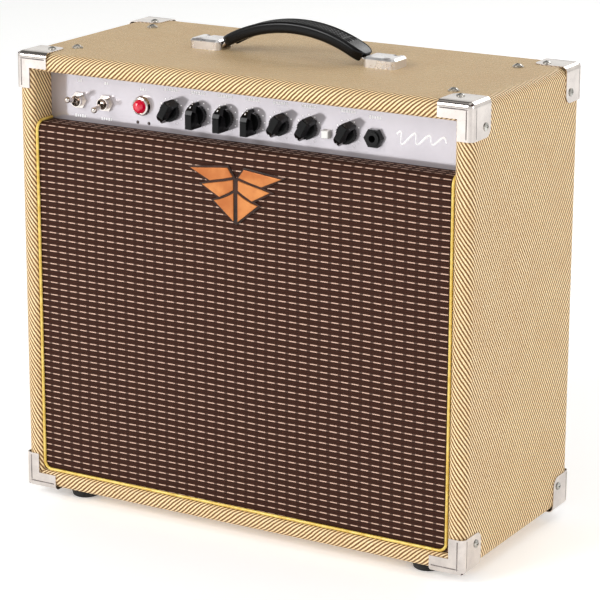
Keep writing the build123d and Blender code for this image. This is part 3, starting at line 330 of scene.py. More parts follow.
CAD_LOOKS = {
    PLYWOOD: ["cabinet_top", "cabinet_bottom", "cabinet_left", "cabinet_right", "cabinet_battens"],
    BLACK_WOOD: ["baffle_board", "grille_frame"],
    TWEED_BOARD: ["back_panel_upper", "back_panel_lower"],
    PIPING: ["grille_piping"],
    NICKEL: ["corner_protectors", "handle_links", "toggle_switches",
             "power_lever", "standby_lever", "pilot_lamp_bezel"],
    CAP_CHROME: ["handle_cap_left", "handle_cap_right"],
    SCREW: ["case_screws", "handle_screws", "chassis_bolts", "speaker_screws", "back_panel_screws"],
    RUBBER: ["rubber_feet"],
    PANEL: ["control_panel"],
    ZINC: ["chassis_tray"],
    POT_CAN: ["potentiometers"],
    SOLDER_MASK: ["circuit_board"],
    ENAMEL: ["power_transformer", "output_transformer", "speaker_magnet"],
    CAN_BLUE: ["filter_capacitors"],
    CERAMIC: ["tube_sockets"],
    PHENOLIC: [name for name in nodes if name.startswith("knob_")],
    NYLON: ["input_jack", "rear_jacks", "boost_switch_body", "mains_inlet", "fuse_holder", "fuse_cap"],
    WHITE_PLASTIC: ["boost_button"],
    BASKET: ["speaker_basket"],
    CONE: ["speaker_cone"],
    SURROUND: ["speaker_surround"],
    SPIDER: ["speaker_spider"],
    CABLE: ["speaker_lead"],
    LED: ["channel_leds"],
}
for look, names in CAD_LOOKS.items():
    for name in names:
        for slot in nodes[name].material_slots:
            slot.material = look


# ------------------------------------------------------------------ mesh helpers
def piece(name, mesh, material, body="cabinet", smooth=True):
    """Make an object of a mesh, with its material, riding on a body."""
    made = bpy.data.objects.new(name, mesh)
    bpy.context.scene.collection.objects.link(made)
    mesh.materials.append(material)
    if smooth:
        mesh.shade_smooth()
    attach(made, body)
    return made


def mesh_from(name, verts, faces):
    """Make a mesh of points and faces, mending any fault in them."""
    mesh = bpy.data.meshes.new(name)
    mesh.from_pydata([tuple(v) for v in verts], [], faces)
    mesh.validate()
    mesh.update()
    return mesh


def mesh_of(name, work, outwards=False):
    """Make a mesh of a bmesh, and free the bmesh."""
    if outwards:
        bmesh.ops.recalc_face_normals(work, faces=work.faces)
    mesh = bpy.data.meshes.new(name)
    work.to_mesh(mesh)
    work.free()
    return mesh


def woven_mesh(name, verts, faces, place):
    """A mesh with one weave coordinate, in metres of cloth, for each corner of each face."""
    mesh = bpy.data.meshes.new(name)
    mesh.from_pydata(verts, [], faces)
    layer = mesh.uv_layers.new(name="weave")
    layer.data.foreach_set("uv", [c for pair in place for c in pair])
    mesh.update()
    return mesh


def turn_outwards(mesh, weld=0.0):
    """Point a mesh's faces outwards, after joining points that are nearer than weld."""
    work = bmesh.new()
    work.from_mesh(mesh)
    if weld:
        bmesh.ops.remove_doubles(work, verts=work.verts, dist=weld)
    bmesh.ops.recalc_face_normals(work, faces=work.faces)
    work.to_mesh(mesh)
    work.free()


def keep_edges_sharp(mesh, angle):
    """Round shading, except across folds sharper than the angle."""
    work = bmesh.new()
    work.from_mesh(mesh)
    for edge in work.edges:
        if len(edge.link_faces) == 2 and edge.calc_face_angle() > math.radians(angle):
            edge.smooth = False
    work.to_mesh(mesh)
    work.free()


def arc_points(centre_a, centre_b, radius, first, last, steps):
    """Points on an arc, as pairs, from the first angle to the last in degrees."""
    made = []
    for i in range(steps + 1):
        angle = math.radians(first + (last - first) * i / steps)
        made.append((centre_a + radius * math.cos(angle), centre_b + radius * math.sin(angle)))
    return made


def join_rings(work, rings, closed=True):
    """Four-sided faces between rings of points that follow each other."""
    for first, second in zip(rings, rings[1:]):
        count = len(first)
        for i in range(count if closed else count - 1):
            j = (i + 1) % count
            work.faces.new((first[i], first[j], second[j], second[i]))


# ------------------------------------------------------------------ tweed covering
DEPTH_STEPS = 14
BOARD_STEPS = 24
CORNER_STEPS = 5
# Each board's facing angle seen from the front, and the lean of its stripes, in degrees.
BOARDS = {"right": (0, 34), "top": (90, 42), "left": (180, 34), "bottom": (270, 42)}
WELD = 0.02 * MM


def covering_section():
    """The path from inside the front mouth, over the outside, into the back mouth.

    Each point is a depth and a distance inwards from the case's outer face."""
    path = [(FRONT + FRONT_WRAP, WALL), (FRONT + FRONT_WRAP / 2, WALL)]
    path += arc_points(FRONT + MOUTH_RADIUS, WALL - MOUTH_RADIUS, MOUTH_RADIUS, 90, 180, 6)
    path += arc_points(FRONT + EDGE_RADIUS, EDGE_RADIUS, EDGE_RADIUS, 180, 270, 8)
    for i in range(1, DEPTH_STEPS):
        path.append((FRONT + EDGE_RADIUS + (BACK - FRONT - 2 * EDGE_RADIUS) * i / DEPTH_STEPS, 0.0))
    path += arc_points(BACK - EDGE_RADIUS, EDGE_RADIUS, EDGE_RADIUS, -90, 0, 8)
    path += arc_points(BACK - MOUTH_RADIUS, WALL - MOUTH_RADIUS, MOUTH_RADIUS, 0, 90, 6)
    path.append((BACK - BACK_WRAP, WALL))
    return path


def covering_loop(inset):
    """Points round the case at one distance inwards: (x, z, board, length along board)."""
    half_x = (case_high.x - case_low.x) / 2
    half_z = (case_high.z - case_low.z) / 2
    middle_z = (case_high.z + case_low.z) / 2
    radius = max(EDGE_RADIUS - inset, 0.0)
    reach_x, reach_z = half_x - inset, half_z - inset
    made = []
    for board, (facing, _) in BOARDS.items():
        normal = math.radians(facing)
        out = Vector((math.cos(normal), math.sin(normal)))
        run = Vector((-out.y, out.x))
        upright = board in ("right", "left")
        reach_out, reach_run = (reach_x, reach_z) if upright else (reach_z, reach_x)
        flat_run = reach_run - radius
        points = []
        for i in range(CORNER_STEPS + 1):
            lean = math.radians(-45 + 45 * i / CORNER_STEPS)
            corner = out * (reach_out - radius) - run * flat_run
            points.append(corner + (out * math.cos(lean) + run * math.sin(lean)) * radius)
        for i in range(1, BOARD_STEPS):
            share = -1 + 2 * i / BOARD_STEPS
            points.append(out * reach_out + run * share * flat_run)
        for i in range(CORNER_STEPS + 1):
            lean = math.radians(45 * i / CORNER_STEPS)
            corner = out * (reach_out - radius) + run * flat_run
            points.append(corner + (out * math.cos(lean) + run * math.sin(lean)) * radius)
        half_corner = radius * math.pi / 4
        last_turn = len(points) - CORNER_STEPS - 1
        for i, point in enumerate(points):
            along = point.dot(run)
            if i <= CORNER_STEPS:
                along = -flat_run - half_corner * (1 - i / CORNER_STEPS)
            elif i >= last_turn:
                along = flat_run + half_corner * (i - last_turn) / CORNER_STEPS
            made.append((point.x, point.y + middle_z, board, along))
    return made


def tweed_covering():
    """The cloth as one skin round the case, with mitred stripes that follow each board."""
    path = covering_section()
    lengths = [0.0]
    for (y0, n0), (y1, n1) in zip(path, path[1:]):
        lengths.append(lengths[-1] + math.hypot(y1 - y0, n1 - n0))
    verts, faces, place = [], [], []
    rows = [covering_loop(inset) for _, inset in path]
    count = len(rows[0])
    for (y, _), row in zip(path, rows):
        verts += [(x, y, z) for x, z, _, _ in row]
    per_board = count // len(BOARDS)
    for r in range(len(path) - 1):
        for i in range(count):
            if i % per_board == per_board - 1:
                continue
            a, b = r * count + i, r * count + i + 1
            faces.append((a, a + count, b + count, b))
            for row_index, column in ((r, i), (r + 1, i), (r + 1, i + 1), (r, i + 1)):
                _, _, board, along = rows[row_index][column]
                angle = math.radians(BOARDS[board][1])
                over = lengths[row_index]
                across = along * math.sin(angle) + over * math.cos(angle)
                down = along * math.cos(angle) - over * math.sin(angle)
                place.append((across, down))
    made = piece("tweed_skin", woven_mesh("tweed_skin", verts, faces, place), TWEED)
    turn_outwards(made.data, WELD)
    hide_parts("tweed_covering")


tweed_covering()


# ------------------------------------------------------------------ grille cloth
GRILLE_NOSE = 8.0 * MM
GRILLE_ROLL = 1.8 * MM
GRILLE_FOLD = 9.0 * MM
TUCK_DEPTH = 2.6 * MM
TUCK_REACH = 4.4 * MM
ROLL_SINK = 0.6


def rolled_edge(front_y, centre_z, radius, first, last, steps):
    """A quarter turn of cloth that touches the front: depth, height, and which way is outwards."""
    made = []
    for i in range(steps + 1):
        angle = math.radians(first + (last - first) * i / steps)
        made.append((front_y + radius - radius * math.cos(angle), centre_z + radius * math.sin(angle),
                     -math.cos(angle), math.sin(angle)))
    return made


def grille_cloth():
    """Cloth drawn over its frame: rolled edges, and a rounded top that runs back to the panel."""
    low, high = grille_low, grille_high
    half = high.x
    roll = GRILLE_ROLL
    path = [(high.y, high.z, 0, 1)]
    path += rolled_edge(low.y, high.z - GRILLE_NOSE, GRILLE_NOSE, 90, 0, 8)
    path.append((low.y, (low.z + high.z) / 2, -1, 0))
    path += rolled_edge(low.y, low.z + roll, roll, 0, -90, 4)
    path.append((low.y + GRILLE_FOLD, low.z, 0, -1))
    lengths = [0.0]
    for first, second in zip(path, path[1:]):
        lengths.append(lengths[-1] + math.hypot(second[0] - first[0], second[1] - first[1]))
    # Each column is a place across the grille, how far it sinks, and its place along the cloth.
    columns = [(-half, -TUCK_DEPTH, -half - TUCK_REACH)]
    for i in range(5):
        angle = math.radians(90 * i / 4)
        sink = -roll * (1 - math.sin(angle)) * ROLL_SINK
        columns.append((-half + roll * (1 - math.cos(angle)), sink, -half + roll * (angle - 1.0)))
    columns += [(-x, sink, -place) for x, sink, place in reversed(columns)]
    verts, faces, place = [], [], []
    for y, z, out_y, out_z in path:
        verts += [(x, y + out_y * sink, z + out_z * sink) for x, sink, _ in columns]
    count = len(columns)
    for r in range(len(path) - 1):
        for i in range(count - 1):
            a, b = r * count + i, (r + 1) * count + i
            faces.append((a, b, b + 1, a + 1))
            for row, column in ((r, i), (r + 1, i), (r + 1, i + 1), (r, i + 1)):
                place.append((columns[column][2], -lengths[row]))
    mesh = woven_mesh("grille_weave", verts, faces, place)
    made = piece("grille_weave", mesh, GRILLE)
    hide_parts("grille_cloth")


grille_cloth()


# ------------------------------------------------------------------ ornament
BADGE_CENTRE_DROP = 27 * MM
PLATE_SHARE = 0.62
# The right-hand feathers' outlines, from top to bottom, in mm from the ornament's centre.
FEATHERS = [
    [(3.0, 17.2), (8.6, 25.2), (48.5, 20.9), (27.5, 11.2), (14.0, 14.2)],
    [(2.6, 14.6), (12.0, 12.2), (28.0, 8.8), (36.2, 6.9), (17.4, -3.2), (8.0, 1.6), (2.6, 5.0)],
    [(2.2, 2.2), (8.4, -1.4), (17.0, -5.2), (23.4, -6.9), (2.2, -24.4)],
]
# Each ring of a feather: its size as a share of the outline, and its depth behind the front, in mm.
FEATHER_RINGS = ((1.0, 1.3), (0.985, 0.35), (0.9, 0.0))


def badge():
    """Copper feathers standing on a dark plate, mirrored about the middle; the plate's dark bronze is painted
    shadow round the feathers.
    """
    low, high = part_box("front_badge")
    middle_z = high.z - BADGE_CENTRE_DROP
    plate = nodes["front_badge"].data.copy()
    for vertex in plate.vertices:
        vertex.co.y = high.y + (vertex.co.y - high.y) * PLATE_SHARE
    plate.materials.clear()
    # The plate's dark bronze is painted shadow between the feathers.
    made = piece("badge_plate", plate, BADGE_SHADOW_BRONZE, smooth=False)
    work = bmesh.new()
    for side in (-1, 1):
        for outline in FEATHERS:
            centre_x = sum(x for x, _ in outline) / len(outline)
            centre_z = sum(z for _, z in outline) / len(outline)
            rings = []
            for share, depth in FEATHER_RINGS:
                rings.append([work.verts.new((side * MM * (centre_x + (x - centre_x) * share),
                                              low.y + depth * MM,
                                              middle_z + MM * (centre_z + (z - centre_z) * share)))
                              for x, z in outline])
            join_rings(work, rings)
            work.faces.new(rings[-1])
            work.faces.new(rings[0][::-1])
    mesh = mesh_of("badge_feathers", work, outwards=True)
    piece("badge_feathers", mesh, BADGE, smooth=False)
    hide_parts("front_badge")


badge()


# ------------------------------------------------------------------ corner protectors' pressed folds
FOLD_INSET = 6.6 * MM
FOLD_HALF_WIDTH = 0.75 * MM
# Distances from the corner along a fold, and the share of its full width there.
FOLD_STATIONS = ((5.0 * MM, 0.2), (9.0 * MM, 1.0), (33.0 * MM, 1.0))
# Across a fold: the side, and the depth below the plate's face.
FOLD_PROFILE = ((-1, 0.02 * MM), (0, -0.08 * MM), (1, 0.02 * MM))
# The face that a fold lies on, the axis it runs along, and the axis across it.
FOLD_AXES = ((1, 2, 0), (1, 0, 2), (0, 2, 1), (2, 0, 1))
EYELET_INSET = 2.9 * MM
EYELET_RADIUS = 1.5 * MM


def protector_folds():
    """The pressed crease along each edge of the corner plates, in darker nickel as painted shade in the fold,
    and the eyelet where the folds meet.
    """
    low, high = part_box("corner_protectors")
    creases, eyelets = bmesh.new(), bmesh.new()
    for at_x, at_y, at_z in ((x, y, z) for x in (0, 1) for y in (0, 1) for z in (0, 1)):
        corner = Vector((high.x if at_x else low.x, high.y if at_y else low.y, high.z if at_z else low.z))
        inward = Vector((-1 if at_x else 1, -1 if at_y else 1, -1 if at_z else 1))
        for face, run, side in FOLD_AXES:
            rows = []
            for along, swell in FOLD_STATIONS:
                row = []
                for across, depth in FOLD_PROFILE:
                    place = corner.copy()
                    place[face] += inward[face] * depth
                    place[run] += inward[run] * along
                    place[side] += inward[side] * (FOLD_INSET + across * FOLD_HALF_WIDTH * swell)
                    row.append(creases.verts.new(place))
                rows.append(row)
            join_rings(creases, rows, closed=False)
        ball = Matrix.Translation(corner + inward * EYELET_INSET)
        bmesh.ops.create_icosphere(eyelets, subdivisions=2, radius=EYELET_RADIUS, matrix=ball)
    mesh = mesh_of("protector_creases", creases, outwards=True)
    piece("protector_creases", mesh, CREASE_SHADE_NICKEL)
    mesh = mesh_of("protector_eyelets", eyelets, outwards=True)
    # The eyelets are small dark balls in the badge's shadow bronze.
    piece("protector_eyelets", mesh, BADGE_SHADOW_BRONZE)


protector_folds()


# ------------------------------------------------------------------ control panel printing and knob marks
def disc(work, x, z, radius, y, thick, sides=14):
    """A thin round spot facing the front."""
    back = [work.verts.new((x + radius * math.cos(a), y, z + radius * math.sin(a)))
            for a in (2 * math.pi * i / sides for i in range(sides))]
    front = [work.verts.new((v.co.x, y - thick, v.co.z)) for v in back]
    work.faces.new(front)
    join_rings(work, [back, front])


def stroke(work, points, width, y, thick):
    """A thin ribbon along points in the plane of the panel."""
    rows = []
    for i, point in enumerate(points):
        before = points[max(i - 1, 0)]
        after = points[min(i + 1, len(points) - 1)]
        run = Vector((after[0] - before[0], after[1] - before[1])).normalized()
        swell = width(i / (len(points) - 1)) / 2
        side = Vector((-run.y, run.x)) * swell
        ring = []
        for sign, depth in ((1, y), (1, y - thick), (-1, y - thick), (-1, y)):
            ring.append(work.verts.new((point[0] + sign * side.x, depth, point[1] + sign * side.y)))
        rows.append(ring)
    for first, second in zip(rows, rows[1:]):
        for i in range(3):
            work.faces.new((first[i], second[i], second[i + 1], first[i + 1]))
    work.faces.new(rows[0])
    work.faces.new(rows[-1][::-1])


KNOB_NAMES = sorted(name for name in nodes if name.startswith("knob_"))
KNOB_JOINT = {joint["child"]: joint for joint in frame["record"]["behaviour"]["joints"]}
PRINT_LIFT = 0.01 * MM
PRINT_THICK = 0.05 * MM
DOT_REACH = 12.6 * MM
DOT_RADIUS = 0.6 * MM
# The rows of blocks: their spacing in mm, their half width, and the heights of every third and the rest.
MARK_PITCH = 2.6
MARK_HALF = 0.8 * MM
MARK_TALL, MARK_SHORT = 2.8 * MM, 2.3 * MM
# The wavy stroke at the right: its length, its steps, and its first rise and the rise lost by the end, in mm.
WAVE_LENGTH = 52 * MM
WAVE_STEPS = 96
WAVE_RISE, WAVE_LOSS = 6.2, 3.0


def print_marks(work, x, z, length, y, thick):
    """A row of small upright blocks, standing in for a word without being one."""
    marks = max(2, round(length / MARK_PITCH))
    for i in range(marks):
        middle = x + (i - (marks - 1) / 2) * MARK_PITCH * MM
        tall = MARK_SHORT if i % 3 else MARK_TALL
        stroke(work, [(middle - MARK_HALF, z), (middle + MARK_HALF, z)], lambda share: tall, y, thick)


def panel_print():
    """White dots round each knob, rows of blocks in place of words, and a wavy stroke at the right."""
    work = bmesh.new()
    y = PANEL_Y - PRINT_LIFT
    for name in KNOB_NAMES:
        x, _, z = KNOB_JOINT[name]["pos_m"]
        for i in range(11):
            angle = math.radians(-150 + 30 * i)
            disc(work, x + DOT_REACH * math.sin(angle), z + DOT_REACH * math.cos(angle), DOT_RADIUS, y,
                 PRINT_THICK)
    # Each row of blocks: its middle, its rise above the knobs' axes in mm, and its length in mm.
    bars = [(centre("power_lever").x, 18.5, 5), (centre("standby_lever").x, 18.5, 5),
            (centre("pilot_jewel").x, 17.0, 8)]
    bars += [(KNOB_JOINT[name]["pos_m"][0], 20.0, 16) for name in KNOB_NAMES]
    bars += [(centre("input_jack").x, 17.5, 12)]
    bars += [(centre(name).x, -15.5, 14) for name in ("power_lever", "standby_lever")]
    row = KNOB_JOINT["knob_bass"]["pos_m"][2]
    for x, rise, length in bars:
        print_marks(work, x, row + rise * MM, length, y, PRINT_THICK)
    start = centre("input_jack").x + 20 * MM
    swing = []
    for i in range(WAVE_STEPS + 1):
        share = i / WAVE_STEPS
        rise = (WAVE_RISE - WAVE_LOSS * share) * MM * math.sin(7 * math.pi * share + 0.6)
        swing.append((start + WAVE_LENGTH * share + 0.5 * rise, row + 1.5 * MM + 2.0 * MM * share + rise))
    stroke(work, swing, lambda share: 0.7 * MM + 1.1 * MM * abs(math.cos(3.5 * math.pi * share)), y,
           PRINT_THICK)
    piece("panel_print", mesh_of("panel_print", work), PRINT, smooth=False)


panel_print()


# The line on a knob's nose: distances from the axis and from the knob's foot, its half width, and how far
# it sinks into the nose and stands out of it. The gap is the one between a knob and the panel.
LINE_PROFILE = ((5.6, 15.3), (9.0, 12.7), (11.3, 8.9), (12.0, 6.0))
LINE_HALF = 0.55 * MM
LINE_SINK, LINE_STAND = -0.1 * MM, 0.12 * MM
KNOB_GAP = 0.8 * MM


def knob_marks():
    """The white line down the nose of each knob."""
    section = ((-LINE_HALF, LINE_SINK), (-LINE_HALF, LINE_STAND), (LINE_HALF, LINE_STAND),
               (LINE_HALF, LINE_SINK))
    for name in KNOB_NAMES:
        joint = KNOB_JOINT[name]
        work = bmesh.new()
        rows = []
        for z, out in LINE_PROFILE:
            rows.append([work.verts.new((x, -out * MM - lift, z * MM)) for x, lift in section])
        join_rings(work, rows)
        work.faces.new(rows[0])
        work.faces.new(rows[-1][::-1])
        bmesh.ops.recalc_face_normals(work, faces=work.faces)
        rest = 0.0 if joint["range_deg"][0] < 0 else -150.0
        place = Matrix.Translation((joint["pos_m"][0], PANEL_Y - KNOB_GAP, joint["pos_m"][2]))
        work.transform(place @ Matrix.Rotation(math.radians(rest), 4, "Y"))
        mesh = mesh_of(name + "_mark", work)
        piece(name + "_mark", mesh, PRINT, body=name, smooth=False)


knob_marks()


# ------------------------------------------------------------------ pilot jewel
def jewel_material():
    """Deep red glass with a faint painted glow, as if lit a little from behind."""
    made = Shader("jewel_glass")
    glow = made.noise(made.object_place(), 160.0, 2.0)
    made.set(Base_Color=made.mix(glow, rgb(150, 0, 28), rgb(216, 8, 56)))
    made.set(Roughness=0.06, Coat_Weight=0.8, Coat_Roughness=0.03)
    # A faint painted glow from the glass itself; there is no lamp behind it.
    made.set(Emission_Color=rgb(232, 0, 52), Emission_Strength=0.28)
    return made.material


# Each ring of facets: shares of the jewel's radius and of its depth.
JEWEL_RINGS = ((1.0, 0.0), (1.0, 0.42), (0.86, 0.68), (0.6, 0.88), (0.28, 1.0))


def pilot_jewel():
    """A dome cut in rings of flat facets."""
    low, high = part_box("pilot_jewel")
    middle = (low + high) / 2
    radius = (high.x - low.x) / 2
    depth = high.y - low.y
    sides = 12
    verts, faces = [], []
    for r, (reach, out) in enumerate(JEWEL_RINGS):
        for i in range(sides):
            angle = 2 * math.pi * (i + 0.5 * (r % 2)) / sides
            verts.append((middle.x + radius * reach * math.cos(angle), high.y - depth * out,
                          middle.z + radius * reach * math.sin(angle)))
    for r in range(len(JEWEL_RINGS) - 1):
        for i in range(sides):
            j = (i + 1) % sides
            a, b, c, d = r * sides + i, r * sides + j, (r + 1) * sides + j, (r + 1) * sides + i
            faces += [(a, b, d), (b, c, d)] if r % 2 == 0 else [(a, b, c), (a, c, d)]
    last = (len(JEWEL_RINGS) - 1) * sides
    faces.append(tuple(last + i for i in range(sides)))
    faces.append(tuple(reversed(range(sides))))
    mesh = mesh_from("jewel_facets", verts, faces)
    made = piece("jewel_facets", mesh, jewel_material(), smooth=False)
    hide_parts("pilot_jewel")


pilot_jewel()


# ------------------------------------------------------------------ handle strap
STRAP_THICK = 11.0 * MM
STRAP_WIDE = 25.0 * MM
STRAP_RISE = 21.5 * MM
STRAP_STEPS = 240
TOP_RADIUS = 3.2 * MM
UNDER_RADIUS = 3.0 * MM
TOP_EDGE = 1.6 * MM
TOP_STEPS, UNDER_STEPS = 32, 12
ROUND_END = 10.5 * MM
# The ends: how crowded the steps are there, and how much of the width and the thickness they lose.
END_CROWDING = 0.92
END_NARROWING, END_THINNING = 0.62, 0.25
# The plait on top: its pitch, its half length, its share of the half width, and its run-out at the ends.
PLAIT_PITCH = 8.4 * MM
PLAIT_REACH = 54 * MM
PLAIT_SHARE = 0.62
PLAIT_FADE = 4 * MM
PLAIT_HEIGHT, PLAIT_SINK, PLAIT_FLOOR = 0.75 * MM, 0.25 * MM, -0.4
# The bead beside the plait, which ends further out, and the level of the whole top.
BEAD_SHARE, BEAD_REACH, BEAD_HEIGHT = 0.78, 60 * MM, 0.45 * MM
TOP_SINK = 0.5 * MM
# The hollow along the underside.
HOLLOW_REACH, HOLLOW_HALF, HOLLOW_DEPTH = 50 * MM, 6.5 * MM, 1.4 * MM
# The slots that the links pass through: size, drop, inset from the end, height over the case, and tilt.
SLOT_SIZE = (26 * MM, 16.4 * MM, 16 * MM)
SLOT_INSET = 8 * MM
SLOT_HEIGHT = 13.3 * MM
SLOT_TILT = 29
STRAP_FOLD_ANGLE = 50


def strap_section():
    """The strap's outline, clockwise from the top's left: across, up from the middle, and which side."""
    top, under = STRAP_THICK / 2, -STRAP_THICK / 2
    edge = STRAP_WIDE / 2
    made = []
    for i in range(TOP_STEPS + 1):
        share = -1 + 2 * i / TOP_STEPS
        made.append((share * (edge - TOP_EDGE), top, "top"))
    corners = arc_points(edge - TOP_RADIUS, top - TOP_RADIUS, TOP_RADIUS, 90, 0, 6)[1:]
    corners += arc_points(edge - UNDER_RADIUS, under + UNDER_RADIUS, UNDER_RADIUS, 0, -90, 6)
    made += [(across, up, "side") for across, up in corners]
    for i in range(1, UNDER_STEPS):
        share = 1 - 2 * i / UNDER_STEPS
        made.append((share * (edge - UNDER_RADIUS), under, "under"))
    corners = arc_points(-edge + UNDER_RADIUS, under + UNDER_RADIUS, UNDER_RADIUS, -90, -180, 6)
    corners += arc_points(-edge + TOP_RADIUS, top - TOP_RADIUS, TOP_RADIUS, 180, 90, 6)[:-1]
    made += [(across, up, "side") for across, up in corners]
    return made


def strap_relief(part, along, across):
    """How far the surface stands out of the plain section: plait and bead on top, a hollow beneath."""
    if part == "under":
        hollow = abs(along) < HOLLOW_REACH and abs(across) < HOLLOW_HALF
        return HOLLOW_DEPTH if hollow else 0.0
    if part != "top":
        return 0.0
    edge = abs(across) / (STRAP_WIDE / 2)
    relief = 0.0
    if abs(along) < PLAIT_REACH and edge < PLAIT_SHARE:
        first = math.sin(2 * math.pi * (along + across) / PLAIT_PITCH)
        second = math.sin(2 * math.pi * (along - across) / PLAIT_PITCH)
        fade = min(1.0, (PLAIT_REACH - abs(along)) / PLAIT_FADE)
        relief = fade * (PLAIT_HEIGHT * max(first * second, PLAIT_FLOOR) - PLAIT_SINK)
    elif edge < BEAD_SHARE and abs(along) < BEAD_REACH:
        relief = BEAD_HEIGHT * math.sin(math.pi * (edge - PLAIT_SHARE) / (BEAD_SHARE - PLAIT_SHARE))
    return relief - TOP_SINK


def cut_slot(made, side, half):
    """Cut the slot that a link passes through, at one end of the strap."""
    work = bmesh.new()
    bmesh.ops.create_cube(work, size=1.0)
    work.transform(Matrix.Diagonal((*SLOT_SIZE, 1)))
    work.transform(Matrix.Translation((0, 0, -SLOT_SIZE[2] / 2)))
    cutter = bpy.data.objects.new("slot_cutter", mesh_of("slot_cutter", work))
    cutter.location = (side * (half - SLOT_INSET), 0, case_high.z + SLOT_HEIGHT)
    cutter.rotation_euler = Euler((0, math.radians(side * SLOT_TILT), 0))
    bpy.context.scene.collection.objects.link(cutter)
    cut = made.modifiers.new("slot", "BOOLEAN")
    cut.operation = "DIFFERENCE"
    cut.solver = "EXACT"
    cut.object = cutter
    bpy.context.view_layer.update()
    graph = bpy.context.evaluated_depsgraph_get()
    result = bpy.data.meshes.new_from_object(made.evaluated_get(graph))
    made.modifiers.clear()
    made.data = result
    bpy.data.objects.remove(cutter)


def handle_strap():
    """A moulded arch: plain rounded ends, edge beads, and a plaited top between them."""
    strap_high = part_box("handle_strap")[1]
    half = strap_high.x
    arch = (half ** 2 + STRAP_RISE ** 2) / (2 * STRAP_RISE)
    hub_z = strap_high.z - STRAP_THICK / 2 - arch
    reach = math.asin(half / arch)
    section = strap_section()
    verts, faces = [], []
    for s in range(STRAP_STEPS + 1):
        spread = -1 + 2 * s / STRAP_STEPS
        angle = reach * math.copysign(abs(spread) ** END_CROWDING, spread)
        x_here = arch * math.sin(angle)
        past = max(0.0, abs(x_here) - (half - ROUND_END)) / ROUND_END
        narrow = 1.0 - END_NARROWING * (1 - math.sqrt(max(0.0, 1 - min(past, 1.0) ** 2)))
        thin = 1.0 - END_THINNING * (1 - math.sqrt(max(0.0, 1 - min(past, 1.0) ** 4)))
        for across, up, part in section:
            distance = arch + up * thin + strap_relief(part, arch * angle, across)
            verts.append((distance * math.sin(angle), across * narrow, hub_z + distance * math.cos(angle)))
    count = len(section)
    for s in range(STRAP_STEPS):
        for i in range(count):
            j = (i + 1) % count
            faces.append((s * count + i, s * count + j, (s + 1) * count + j, (s + 1) * count + i))
    faces.append(tuple(range(count - 1, -1, -1)))
    faces.append(tuple(STRAP_STEPS * count + i for i in range(count)))
    made = piece("strap_moulding", mesh_from("strap_moulding", verts, faces), VINYL, body="handle")
    turn_outwards(made.data)
    for side in (-1, 1):
        cut_slot(made, side, half)
    keep_edges_sharp(made.data, STRAP_FOLD_ANGLE)
    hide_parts("handle_strap")


handle_strap()


# ------------------------------------------------------------------ valves
def glass_material():
    """Clear thin glass."""
    made = Shader("valve_glass")
    made.set(Base_Color=(0.95, 0.97, 0.97, 1), Roughness=0.02, IOR=1.45)
    made.set(Transmission_Weight=1.0)
    return made.material


GLASS = glass_material()
PLATE = finish_of("valve_plate", rgb(70, 70, 72), rgb(110, 110, 112), 0.45, 0.9)
GETTER = finish_of("valve_getter", rgb(150, 148, 144), rgb(210, 208, 204), 0.12, 1.0)


def lathe(work, x, y, profile, sides=28):
    """Turn a profile of radius and height pairs about an upright line."""
    rings = []
    for radius, z in profile:
        rings.append([work.verts.new((x + radius * math.cos(a), y + radius * math.sin(a), z))
                      for a in (2 * math.pi * i / sides for i in range(sides))])
    join_rings(work, rings)
    work.faces.new(rings[0][::-1])
    work.faces.new(rings[-1])


GLASS_THICK = 0.9 * MM
MICA_THICK = 0.4 * MM


def valves(name, count):
    """Thin glass envelopes, tips down, with their plates, mica discs and silvered tips inside."""
    low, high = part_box(name)
    radius = (high.y - low.y) / 2
    first, last = low.x + radius, high.x - radius
    y = (low.y + high.y) / 2
    envelopes, plates, tips = bmesh.new(), bmesh.new(), bmesh.new()
    for i in range(count):
        x = first + (last - first) * i / max(count - 1, 1)
        outer = [(radius - 1.2 * MM, high.z), (radius, high.z - 1.6 * MM), (radius, low.z + 12 * MM),
                 (radius * 0.86, low.z + 8 * MM), (radius * 0.55, low.z + 5.4 * MM),
                 (2.3 * MM, low.z + 4 * MM), (0.8 * MM, low.z + 0.3 * MM)]
        inner = [(max(r - GLASS_THICK, 0.3 * MM), z + (1.0 * MM if z < low.z + 11 * MM else -0.4 * MM))
                 for r, z in outer]
        lathe(envelopes, x, y, outer)
        lathe(envelopes, x, y, inner[::-1])
        body = [(0.5 * radius, high.z - 6 * MM), (0.55 * radius, high.z - 7 * MM),
                (0.55 * radius, low.z + 20 * MM), (0.5 * radius, low.z + 19 * MM)]
        lathe(plates, x, y, body, 16)
        for z in (high.z - 5.4 * MM, low.z + 18 * MM):
            lathe(plates, x, y, [(0.8 * radius, z), (0.8 * radius, z - MICA_THICK)], 24)
        lathe(tips, x, y, [(radius - 1.3 * MM, low.z + 13 * MM), (radius * 0.8, low.z + 9.4 * MM),
                           (radius * 0.42, low.z + 6.6 * MM), (1.0 * MM, low.z + 5.4 * MM)])
    glass = piece(name + "_glass", mesh_of(name + "_glass", envelopes), GLASS)
    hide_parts(name)
    piece(name + "_plates", mesh_of(name + "_plates", plates), PLATE)
    piece(name + "_getters", mesh_of(name + "_getters", tips), GETTER)


valves("power_tubes", 2)
valves("preamp_tubes", 3)


# ------------------------------------------------------------------ floor, light and camera
FLOOR_REACH = 30.0
# The sky's grey from the horizon and below, 0, up to straight overhead, 1.
SKY_BANDS = ((0.0, 1.0), (0.30, 1.0), (0.48, 0.95), (0.62, 0.22), (0.86, 0.14), (0.94, 0.85))
SKY_WARMTH = 0.98
SKY_STRENGTH = 0.95
AIM = (0, 0, 0.25)
CAMERA_PLACE = (1.206, -2.074, 0.892)
CAMERA_ANGLES = (30.08, 15.95, 0.21)
LENS = 156.0
SENSOR = 36.0


